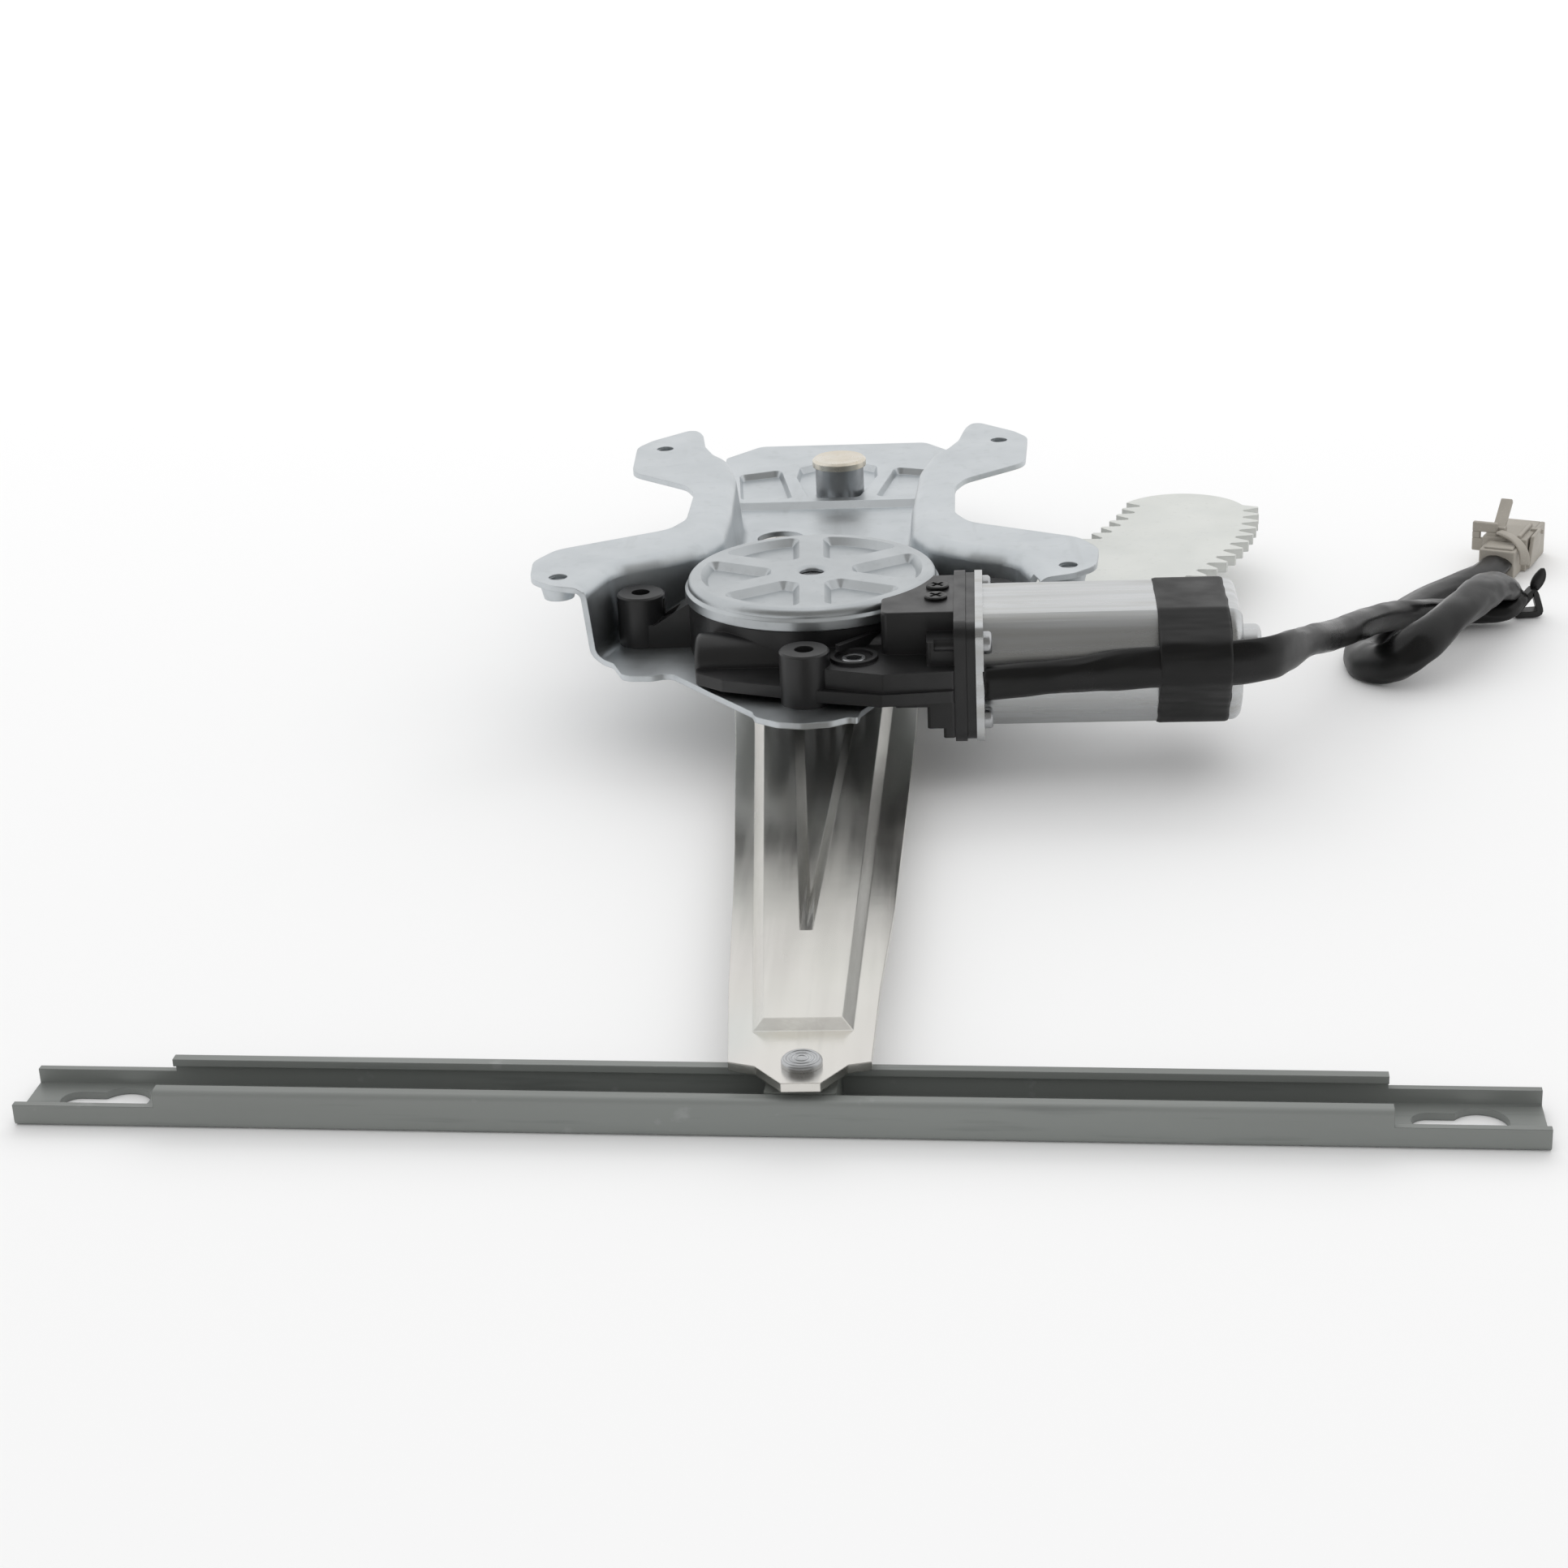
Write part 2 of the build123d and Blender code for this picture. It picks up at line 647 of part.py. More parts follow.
def gear_housing_piece():
    """Moulded housing: a bowl for the worm wheel, a tunnel for the worm and three screw bosses."""
    rim_level = cover_top - cover_rim
    flange_back = flange_face - flange_thick
    block_right = flange_back + 2.0
    with BuildPart() as housing:
        with BuildSketch(Plane.XY.offset(floor_top)):
            Circle(bowl_r)
        extrude(amount=rim_level - floor_top)
        # screw bosses, with a sloping gusset at the left and a web at the right and the front
        with BuildSketch(Plane.XY.offset(floor_top)):
            with Locations(*boss_places):
                Circle(boss_r)
        extrude(amount=boss_top - floor_top)
        chamfer(housing.faces().sort_by(Axis.Z)[-3:].edges(), 0.5)
        with BuildSketch(Plane.XZ.offset(-boss_places[0][1] - gusset_wide * 0.2)):
            with BuildLine():
                Polyline((boss_places[0][0], floor_top), (-bowl_r + 4, floor_top), (-bowl_r + 4, gusset_high),
                         (-bowl_r, gusset_high), (boss_places[0][0] + 4, gusset_low),
                         (boss_places[0][0], gusset_low), close=True)
            make_face()
        extrude(amount=gusset_wide)
        with BuildSketch(Plane.XY.offset(floor_top)):
            with BuildLine():
                Polyline((-42.0, 3.0), (-37.4, -2.5), (-35.8, 3.0), close=True)
            make_face()
            fillet(vertices(), 0.6)
        extrude(amount=gusset_high - floor_top, mode=Mode.SUBTRACT)
        for place in boss_places[1:]:
            reach = hypot(*place)
            across = (-place[1] / reach, place[0] / reach)
            with BuildSketch(Plane.XY.offset(floor_top)):
                with BuildLine():
                    Polyline((place[0] + across[0] * 4, place[1] + across[1] * 4),
                             (place[0] - across[0] * 4, place[1] - across[1] * 4),
                             (-across[0] * 12, -across[1] * 12), (across[0] * 12, across[1] * 12), close=True)
                make_face()
            extrude(amount=gusset_low - floor_top)
        # tunnel of the worm with a rounded end, open into the bowl
        with BuildSketch(Plane.YZ.offset(tunnel_start)):
            with Locations((motor_y, motor_z)):
                Circle(tunnel_r)
            with Locations((motor_y, floor_top)):
                Rectangle(3 * tunnel_r, 3 * tunnel_r, align=(Align.CENTER, Align.MIN), mode=Mode.INTERSECT)
        extrude(amount=flange_back - tunnel_start)
        tunnel_end = housing.edges().filter_by_position(Axis.X, tunnel_start, tunnel_start)
        fillet(tunnel_end.filter_by(GeomType.CIRCLE), 1.8)
        # skirt under the tunnel, and the ledge beside the front boss
        with BuildSketch(Plane.XY.offset(skirt_bottom)):
            with BuildLine():
                rounded([(skirt_left, -20.0), (skirt_left, -36.0), (-21.7, -41.8), (-6.0, -47.5), (2.7, -51.2),
                         (19.6, -55.6), (flange_back, -53.5), (flange_back, -20.0)], 1.5)
            make_face()
        extrude(amount=skirt_top - skirt_bottom)
        with BuildSketch(Plane.XY.offset(skirt_top)):
            with BuildLine():
                rounded([(2.9, -30.0), (2.9, -48.5), (20.0, -54.2), (flange_back, -52.6),
                         (flange_back, -30.0)], 0.8)
            make_face()
        extrude(amount=ledge_top - skirt_top)
        # threaded insert's ring, and the thin rib behind it
        with BuildSketch(Plane.XY.offset(skirt_top)):
            with Locations((insert_x, insert_y)):
                Circle(insert_boss_r)
        extrude(amount=ledge_top + insert_rise - skirt_top)
        with BuildSketch(Plane.XY.offset(skirt_top)):
            with BuildLine():
                Polyline((7.6, -38.0), (8.8, -39.2), (block_left + 1.2, -26.2), (block_left, -25.0), close=True)
            make_face()
        extrude(amount=gusset_high - skirt_top)
        # block over the worm's motor end, its step, and the deep foot against the flange
        with BuildSketch(Plane.XY.offset(skirt_bottom)):
            with BuildLine():
                rounded([(block_left, block_far_y - 6.0), (block_left, block_near_y), (block_right, block_near_y),
                         (block_right, block_far_y), (block_left + 8.0, block_far_y)], block_corner_r)
            make_face()
        extrude(amount=block_top - skirt_bottom)
        fillet(housing.faces().sort_by(Axis.Z)[-1].edges(), 0.6)
        with BuildSketch(Plane.XY.offset(ledge_top)):
            with BuildLine():
                rounded([(step_left, block_near_y + 3), (step_left, step_near_y), (block_right, step_near_y),
                         (block_right, block_near_y + 3)], 1.2)
            make_face()
        extrude(amount=step_top - ledge_top)
        for start, low in ((23.0, -19.8), (31.0, -25.6), (35.0, -28.2)):
            with BuildSketch(Plane.XY.offset(low)):
                with Locations(((start + flange_back) / 2, -46.5)):
                    RectangleRounded(flange_back - start, 12.0, 0.8)
            extrude(amount=skirt_bottom - low)
        # flange against the motor
        with BuildSketch(Plane.YZ.offset(flange_back)):
            with Locations((flange_middle_y, flange_middle_z)):
                RectangleRounded(flange_wide, flange_high, 4.0)
        extrude(amount=flange_thick)
        # the room inside
        with BuildSketch(Plane.XY.offset(cavity_floor)):
            Circle(bowl_r - bowl_wall)
        extrude(amount=rim_level - cavity_floor, mode=Mode.SUBTRACT)
        with BuildSketch(Plane.YZ.offset(tunnel_start + 2.5)):
            with Locations((motor_y, motor_z)):
                Circle(worm_r + 0.6)
        extrude(amount=flange_face - tunnel_start, mode=Mode.SUBTRACT)
        with BuildSketch(Plane.XY.offset(floor_top - 1)):
            Circle(shaft_sleeve_r + running_gap)
        extrude(amount=cavity_floor - floor_top + 1, mode=Mode.SUBTRACT)
        # cover clearance, screw bores and the insert's bore
        with BuildSketch(Plane.XY.offset(rim_level)):
            Circle(cover_r)
        extrude(amount=cover_rim + 5, mode=Mode.SUBTRACT)
        with BuildSketch(Plane.XY.offset(floor_top - 1)):
            with Locations(*boss_places):
                Circle(boss_bore_r)
        extrude(amount=boss_top - floor_top + 2, mode=Mode.SUBTRACT)
        with BuildSketch(Plane.XY.offset(ledge_top + insert_rise)):
            with Locations((insert_x, insert_y)):
                Circle(insert_boss_r - 1.3)
        extrude(amount=-insert_rise, mode=Mode.SUBTRACT)
        with BuildSketch(Plane.XY.offset(ledge_top)):
            with Locations((insert_x, insert_y)):
                Circle(insert_r)
        extrude(amount=-insert_deep, mode=Mode.SUBTRACT)
        with BuildSketch(Plane.YZ.offset(flange_face)):
            with Locations(*yoke_screw_places):
                Circle(yoke_screw_r)
        extrude(amount=-flange_thick - 5.0, mode=Mode.SUBTRACT)
        with BuildSketch(Plane.XY.offset(block_top)):
            with Locations(*block_screw_places):
                Circle(block_screw_r)
        extrude(amount=-6.0, mode=Mode.SUBTRACT)
    return housing


def insert_piece():
    """Threaded steel insert in the housing's ledge."""
    with BuildPart() as insert:
        with BuildSketch(Plane.XY.offset(ledge_top - insert_deep)):
            with Locations((insert_x, insert_y)):
                Circle(insert_r)
        extrude(amount=insert_deep + 0.3)
        chamfer(insert.faces().sort_by(Axis.Z)[-1].edges(), 0.3)
        with Locations((insert_x, insert_y, ledge_top + 0.3)):
            Hole(insert_r - 1.2)
    return insert


def lift_arm_piece():
    """Pressed arm with a raised panel, a sunk wedge down its middle and a stud hole at its tip."""
    with BuildPart() as arm:
        with BuildSketch(Plane.XY.offset(rim_under)):
            with BuildLine():
                Polyline(*arm_edge)
                ThreePointArc(arm_edge[-1], (pivot_x, pivot_y + arm_head_r), arm_edge[0])
            make_face()
        extrude(amount=arm_sheet)
        with BuildSketch(Plane.XY.offset(rim_under)):
            with BuildLine():
                Polyline(*panel_edge)
                ThreePointArc(panel_edge[-1], (pivot_x, pivot_y + arm_head_r - panel_inset), panel_edge[0])
            make_face()
        extrude(amount=arm_sheet + panel_rise, taper=panel_slope)
        with BuildSketch(Plane.XY.offset(rim_under)):
            with BuildLine():
                Polyline(*panel_edge)
                ThreePointArc(panel_edge[-1], (pivot_x, pivot_y + arm_head_r - panel_inset), panel_edge[0])
            make_face()
            offset(amount=-arm_sheet * 0.6)
        extrude(amount=panel_rise, taper=panel_slope, mode=Mode.SUBTRACT)
        # wedge pressed back down to the rim's level, with sloped sides
        with BuildSketch(Plane.XY.offset(rim_under)):
            with BuildLine():
                Polyline(*wedge_edge, close=True)
            make_face()
            offset(amount=arm_sheet * 0.4)
        extrude(amount=panel_rise + 0.4)
        with BuildSketch(Plane.XY.offset(panel_top)):
            with BuildLine():
                Polyline(*wedge_edge, close=True)
            make_face()
        extrude(amount=-panel_rise, taper=wedge_slope, mode=Mode.SUBTRACT)
        with Locations((pivot_x, pivot_y, panel_top)):
            Hole(pivot_r)
        with Locations((stud_x, stud_y, rim_top)):
            Hole(stud_r)
        with Locations(*[(x, y, panel_top) for x, y in rivet_places]):
            Hole(sector_rivet_r)
    return arm


def channel_point(along, across=0.0):
    """Point in plan at a distance along and across the glass channel, from the stud."""
    return (stud_x + along * cos(channel_turn) - across * sin(channel_turn),
            stud_y + along * sin(channel_turn) + across * cos(channel_turn))


def channel_plane(along):
    """Plane square to the glass channel, its local X across the channel and its local Y up."""
    x, y = channel_point(along)
    across = (-sin(channel_turn), cos(channel_turn), 0)
    return Plane(origin=(x, y, ground), x_dir=across, z_dir=(cos(channel_turn), sin(channel_turn), 0))


def glass_channel_piece():
    """Rolled C-channel with its lips cut back and a keyhole at each end."""
    start = channel_offset - channel_length / 2
    half = channel_width / 2
    inner = half - channel_sheet
    lip = half - channel_lip
    with BuildPart() as channel:
        with BuildSketch(channel_plane(start)):
            with BuildLine():
                Polyline((-half, 0), (half, 0), (half, channel_height), (lip, channel_height),
                         (lip, channel_height - channel_sheet), (inner, channel_height - channel_sheet),
                         (inner, channel_sheet), (-inner, channel_sheet),
                         (-inner, channel_height - channel_sheet), (-lip, channel_height - channel_sheet),
                         (-lip, channel_height), (-half, channel_height), close=True)
            make_face()
        extrude(amount=channel_length)
        fillet(channel.edges().filter_by(on_outer_corner), 1.2)
        for end in (start, start + channel_length - cutback):
            with BuildSketch(channel_plane(end)):
                with Locations((0, channel_height)):
                    Rectangle(channel_width + 2, 2 * (channel_height - cutback_height))
            extrude(amount=cutback, mode=Mode.SUBTRACT)
        # keyholes, the round end to the right at both ends
        for middle in (start + keyhole_inset, start + channel_length - keyhole_inset):
            round_end = channel_point(middle + keyhole_length / 2 - keyhole_r)
            slot_end = channel_point(middle - keyhole_length / 2 + keyhole_slot_r)
            with BuildSketch(Plane.XY.offset(ground)):
                with Locations(round_end):
                    Circle(keyhole_r)
                with Locations(slot_end):
                    Circle(keyhole_slot_r)
                with Locations(((round_end[0] + slot_end[0]) / 2, (round_end[1] + slot_end[1]) / 2)):
                    Rectangle(keyhole_length - keyhole_r - keyhole_slot_r, 2 * keyhole_slot_r,
                              degrees(channel_turn))
            extrude(amount=channel_sheet, mode=Mode.SUBTRACT)
    return channel


def on_outer_corner(edge):
    """True for the four long edges at the outer corners of the channel's section."""
    if edge.length < channel_length - 1:
        return False
    middle = edge @ 0.5
    across = -(middle.X - stud_x) * sin(channel_turn) + (middle.Y - stud_y) * cos(channel_turn)
    level = middle.Z - ground
    return abs(abs(across) - channel_width / 2) < 0.1 and (level < 0.1 or level > channel_height - 0.1)


def guide_block_piece():
    """Moulded block that slides in the channel and turns on the stud."""
    inner = channel_width / 2 - channel_sheet - slide_gap
    neck = channel_width / 2 - channel_lip - slide_gap
    with BuildPart() as block:
        with BuildSketch(channel_plane(-block_length / 2)):
            with BuildLine():
                Polyline((-inner, channel_sheet + slide_gap), (inner, channel_sheet + slide_gap),
                         (inner, channel_height - channel_sheet - slide_gap),
                         (neck, channel_height - channel_sheet - slide_gap), (neck, channel_height + slide_gap),
                         (-neck, channel_height + slide_gap), (-neck, channel_height - channel_sheet - slide_gap),
                         (-inner, channel_height - channel_sheet - slide_gap), close=True)
            make_face()
        extrude(amount=block_length)
        with Locations((stud_x, stud_y, channel_top + slide_gap)):
            Hole(stud_r + running_gap)
    return block


def stud_piece():
    """Headed stud riveted in the arm's tip, its pin down in the guide block."""
    with BuildPart() as stud:
        with BuildSketch(Plane.XY.offset(rim_under - stud_flange_thick)):
            with Locations((stud_x, stud_y)):
                Circle(stud_flange_r)
        extrude(amount=stud_flange_thick)
        with BuildSketch(Plane.XY.offset(ground + channel_sheet + 2 * slide_gap)):
            with Locations((stud_x, stud_y)):
                Circle(stud_r)
        extrude(amount=rim_under - ground - channel_sheet - 2 * slide_gap)
        with BuildSketch(Plane.XY.offset(rim_under)):
            with Locations((stud_x, stud_y)):
                Circle(stud_r)
        extrude(amount=arm_sheet)
        with BuildSketch(Plane.XY.offset(rim_top)):
            with Locations((stud_x, stud_y)):
                Circle(rivet_head_r)
        extrude(amount=rivet_head_thick)
        fillet(stud.faces().sort_by(Axis.Z)[-1].edges(), 0.7)
    return stud


def pivot_pin_piece():
    """Headed pivot pin, fixed in the arm, with a stepped foot that the part rests on."""
    foot_top = rim_under - 3.0
    seat = rim_under + panel_rise
    head_under = pivot_head_top - pivot_head_thick
    steps = [(0.0, ground), (pivot_foot_r, ground), (pivot_foot_r, foot_top), (pivot_foot_flange_r, foot_top),
             (pivot_foot_flange_r, seat), (pivot_r, seat), (pivot_r, head_under), (pivot_head_r, head_under),
             (pivot_head_r, pivot_head_top - pivot_head_edge), (pivot_head_r - pivot_head_edge, pivot_head_top),
             (0.0, pivot_head_top)]
    with BuildPart() as pin:
        with BuildSketch(Plane.XZ.offset(-pivot_y)):
            with BuildLine():
                Polyline(*[(pivot_x + radius, level) for radius, level in steps], close=True)
            make_face()
        revolve(axis=Axis((pivot_x, pivot_y, 0), (0, 0, 1)))
    return pin


def collar_tube_piece():
    """Steel bush in the plate that the pivot pin turns in, flanged under the plate."""
    with BuildPart() as tube:
        with BuildSketch(Plane.XY.offset(floor_under)):
            with Locations((pivot_x, pivot_y)):
                Circle(collar_tube_r)
        extrude(amount=pivot_head_top - pivot_head_thick - 0.15 - floor_under)
        with BuildSketch(Plane.XY.offset(floor_under - bush_flange_thick)):
            with Locations((pivot_x, pivot_y)):
                Circle(bush_flange_r)
        extrude(amount=bush_flange_thick)
        with Locations((pivot_x, pivot_y, 0)):
            Hole(pivot_r + running_gap)
    return tube


def tape_piece():
    """Tape wound round the can and the harness beside it."""
    with BuildPart() as tape:
        with BuildSketch(Plane.YZ.offset(tape_start)):
            can_outline(tape_thick)
            with Locations((harness_y, tape_z)):
                Circle(harness_d / 2 + tape_thick)
            with BuildLine():
                Polyline((motor_y, tape_z + harness_d + 1.5), (harness_y, tape_z + harness_d / 2 + tape_thick),
                         (harness_y, tape_z - harness_d / 2 - tape_thick),
                         (motor_y, tape_z - harness_d - 3), close=True)
            make_face()
            can_outline_cut()
            with Locations((harness_y, tape_z)):
                Circle(harness_d / 2 + 0.05, mode=Mode.SUBTRACT)
        extrude(amount=tape_end - tape_start)
    return tape


def can_outline_cut():
    """Cut the can's own section from the current sketch."""
    with BuildSketch(Plane.XY, mode=Mode.PRIVATE) as section:
        can_outline(0.0)
    add(section.sketch, mode=Mode.SUBTRACT)


def harness_piece():
    """Sleeved leads from the brush plate, along the can and down to the connector."""
    turns = harness_radii()
    with BuildPart() as harness:
        with BuildLine() as route:
            FilletPolyline(*harness_points, radius=turns)
        path = route.wires()[0]
        with BuildSketch(Plane(origin=path @ 0, z_dir=path % 0)):
            Circle(harness_d / 2)
        sweep(path=path)
    over_section = harness.part.volume / (pi * harness_d ** 2 / 4)
    print("harness length", round(path.length, 1), "volume over section", round(over_section, 1))
    print("harness radii", [round(turn, 1) for turn in turns])
    return harness


def harness_radii():
    """Radius of each bend: as large as its two runs allow."""
    radii = []
    points = [Vector(*point) for point in harness_points]
    for before, corner, after in zip(points, points[1:], points[2:]):
        turn = radians((corner - before).get_angle(after - corner))
        radii.append(0.45 * min((corner - before).length, (after - corner).length) / tan(turn / 2))
    return radii


def worm_shaft_piece():
    """Armature shaft with the worm at its free end."""
    with BuildPart() as shaft:
        with BuildSketch(Plane.YZ.offset(tunnel_start + 3.5)):
            with Locations((motor_y, motor_z)):
                Circle(shaft_r)
        extrude(amount=can_end + end_boss_length - can_wall - 0.4 - tunnel_start - 3.5)
        with BuildSketch(Plane.YZ.offset(-20)):
            with Locations((motor_y, motor_z)):
                Circle(worm_r)
        extrude(amount=40)
        chamfer(shaft.faces().filter_by(Axis.X).sort_by(SortBy.AREA)[-2:].edges().filter_by(GeomType.CIRCLE)
                .filter_by(lambda edge: edge.radius > shaft_r + 0.1), 0.8)
    return shaft


def armature_core_piece():
    """Slotted stack on the shaft."""
    with BuildPart() as core:
        with BuildSketch(Plane.YZ.offset(core_start)):
            with Locations((motor_y, motor_z)):
                Circle(armature_r)
                Circle(shaft_r, mode=Mode.SUBTRACT)
                with PolarLocations(armature_r - 3.0, 8):
                    SlotOverall(8.0, 3.4, mode=Mode.SUBTRACT)
        extrude(amount=core_long)
    return core


def windings_piece():
    """Two rings of winding heads, one at each end of the stack."""
    with BuildPart() as windings:
        for start in (core_start - winding_long, core_start + core_long):
            with BuildSketch(Plane.YZ.offset(start)):
                with Locations((motor_y, motor_z)):
                    Circle(armature_r - 1.5)
                    Circle(shaft_r + 1.2, mode=Mode.SUBTRACT)
            extrude(amount=winding_long)
    return windings


def brushes_piece():
    """Two carbon brushes, one each side of the commutator."""
    with BuildPart() as brushes:
        with BuildSketch(Plane.YZ.offset(flange_face + 0.6)):
            with Locations((motor_y + commutator_r + 1.8, motor_z), (motor_y - commutator_r - 1.8, motor_z)):
                Rectangle(3.2, 4.0)
        extrude(amount=brush_plate_thick - 0.9)
    return brushes


def worm_wheel_piece():
    """Moulded worm wheel with a cup for the rubber damper and shallow teeth round its rim."""
    with BuildPart() as wheel:
        with BuildSketch(Plane.XY.offset(cavity_floor + 0.4)):
            Circle(wheel_r)
            with PolarLocations(wheel_r, worm_wheel_teeth):
                Rectangle(1.2, 1.3, mode=Mode.SUBTRACT)
        extrude(amount=wheel_thick)
        with BuildSketch(Plane.XY.offset(cavity_floor + 0.4 + wheel_web)):
            Circle(wheel_r - 3.0)
            Circle(shaft_sleeve_r + 3.0, mode=Mode.SUBTRACT)
        extrude(amount=wheel_thick, mode=Mode.SUBTRACT)
        with Locations((0, 0, 0)):
            Hole(shaft_sleeve_r)
    return wheel


def damper_piece():
    """Rubber damper ring with lobes, between worm wheel and drive plate."""
    with BuildPart() as damper:
        with BuildSketch(Plane.XY.offset(cavity_floor + 0.4 + wheel_web)):
            Circle(wheel_r - 3.0)
            Circle(shaft_sleeve_r + 3.0, mode=Mode.SUBTRACT)
        extrude(amount=drive_plate_under - cavity_floor - 0.4 - wheel_web)
        with BuildSketch(Plane.XY.offset(drive_plate_under - 2.0)):
            with PolarLocations(14.5, 3):
                SlotOverall(5.0, 2.4)
        extrude(amount=2.0, mode=Mode.SUBTRACT)
    return damper


def connector_plane(level):
    """Plane of the connector on the ground, its local Y along the way the plug points."""
    return Plane(origin=(connector_x, connector_y, ground + level),
                 x_dir=(cos(connector_turn), sin(connector_turn), 0), z_dir=(0, 0, 1))


def connector_piece():
    """Moulded plug housing with a hollow mouth, two flared wings, a strap loop and a latch lever."""
    with BuildPart() as plug:
        with BuildSketch(connector_plane(0.0)):
            with Locations((0, 6.0)):
                RectangleRounded(11.0, 12.0, 1.2)
            with Locations((0, 20.0)):
                RectangleRounded(15.0, 22.0, 1.2)
        extrude(amount=plug_high)
        fillet(plug.faces().sort_by(Axis.Z)[-1].edges(), 0.8)
        with BuildSketch(connector_plane(2.0)):
            with Locations((0, 26.0)):
                Rectangle(plug_mouth, 12.0)
        extrude(amount=plug_high - 4.0, mode=Mode.SUBTRACT)
        # wings at both sides of the mouth, leaning out
        for side in (1, -1):
            with BuildSketch(connector_plane(1.0)):
                with Locations((side * 8.4, 22.0)):
                    RectangleRounded(1.6, 14.0, 0.7, side * -12)
            extrude(amount=plug_high + 2.0)
        # strap over the body
        with BuildSketch(connector_plane(plug_high)):
            with Locations((0, 10.0)):
                Rectangle(13.0, 3.0)
        extrude(amount=1.4)
        # latch lever, hinged at the strap and standing past the mouth
        with BuildSketch(connector_plane(plug_high)):
            with Locations((0, 24.0)):
                RectangleRounded(5.0, 26.0, 1.0)
        extrude(amount=2.2)
    return plug


def terminal_insert_piece():
    """Block with blades in the plug's mouth."""
    with BuildPart() as insert:
        with BuildSketch(connector_plane(2.0)):
            with Locations((0, 21.0)):
                Rectangle(plug_mouth, 2.0)
        extrude(amount=plug_high - 4.0)
        with BuildSketch(connector_plane(plug_high / 2 - 0.4)):
            with Locations((-3.0, 23.6), (3.0, 23.6)):
                Rectangle(2.3, 3.6)
        extrude(amount=0.8)
    return insert


def clip_piece():
    """Plastic harness clip: an open three-cornered loop with a tail, beside the folded leads."""
    with BuildPart() as clip:
        with BuildSketch(Plane.XY.offset(ground)) as outline:
            with Locations((clip_x, clip_y)):
                RegularPolygon(clip_r, 3, rotation=clip_turn)
                fillet(outline.vertices(), 1.6)
                RegularPolygon(clip_r - 3.2, 3, rotation=clip_turn, mode=Mode.SUBTRACT)
            with Locations(polar(clip_r + 1.5, radians(clip_turn), (clip_x, clip_y))):
                SlotOverall(10.0, 2.8, clip_turn)
        extrude(amount=5.0)
    return clip


finish(base_plate_piece(), "base_plate")
finish(collar_tube_piece(), "pivot_bush")
finish(gear_housing_piece(), "gear_housing")
finish(housing_cover_piece(), "housing_cover")
finish(round_piece(axle_r, panel_top + 2 * root_gap, cover_top - cover_sheet - 0.2, edge=0.4), "wheel_axle")
finish(brush_plate_piece(), "brush_plate")
finish(brushes_piece(), "brushes")
finish(motor_can_piece(), "motor_can")
finish(magnets_piece(), "magnets")
finish(bar_along_x(end_boss_r - can_wall, can_end + 0.5, can_end + 4.0, shaft_r + running_gap), "end_bearing")
finish(bar_along_x(worm_r + 0.6, flange_face - 8.0, flange_face - 3.0, shaft_r + running_gap), "shaft_bearing")
finish(screws_along_x(yoke_screw_places, can_start, 2.9, 2.2, yoke_screw_r, 7.0, 1), "yoke_screws")
finish(screws_upright(block_screw_places, block_top, 3.0, 0.9, block_screw_r, 5.5, 1, 0.9), "block_screws")
finish(insert_piece(), "ledge_insert")
finish(screws_upright(boss_places, floor_under, 4.6, 2.4, boss_bore_r, 11.0, -1, 1.2), "mounting_screws")
finish(worm_shaft_piece(), "armature_shaft")
finish(armature_core_piece(), "armature_core")
finish(windings_piece(), "armature_windings")
finish(bar_along_x(commutator_r - 0.2, flange_face + 0.3, flange_face + 11.0, shaft_r), "commutator")
finish(worm_wheel_piece(), "worm_wheel")
finish(damper_piece(), "rubber_damper")
finish(round_piece(wheel_r - 4.0, drive_plate_under, drive_plate_under + drive_plate_thick,
                   bore=axle_r + running_gap), "drive_plate")
finish(output_pinion_piece(), "output_pinion")
finish(lift_arm_piece(), "lift_arm")
finish(sector_gear_piece(), "sector_gear")
finish(screws_upright(rivet_places, panel_top + sector_thick, 5.0, 1.6, sector_rivet_r,
                      sector_thick + panel_rise + 0.3, 1), "sector_rivets")
finish(pivot_pin_piece(), "pivot_pin")
finish(round_piece(bush_flange_r, panel_top, floor_under - bush_flange_thick - slide_gap, (pivot_x, pivot_y),
                   pivot_r), "pivot_washer")
finish(stud_piece(), "guide_stud")
finish(guide_block_piece(), "guide_block")
finish(glass_channel_piece(), "glass_channel")
finish(tape_piece(), "tape_band")
finish(harness_piece(), "harness")
finish(connector_piece(), "plug_housing")
finish(terminal_insert_piece(), "plug_terminals")
finish(clip_piece(), "harness_clip")
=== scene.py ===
"""Power window regulator: surface finishes, taped leads, small fasteners and a plain studio.

Pieces are built in metres in the CAD frame. Named values are in millimetres unless they say otherwise.
"""
import json
from math import cos, pi, radians, sin

import bmesh
import bpy
from mathutils import Matrix, Vector, geometry, noise


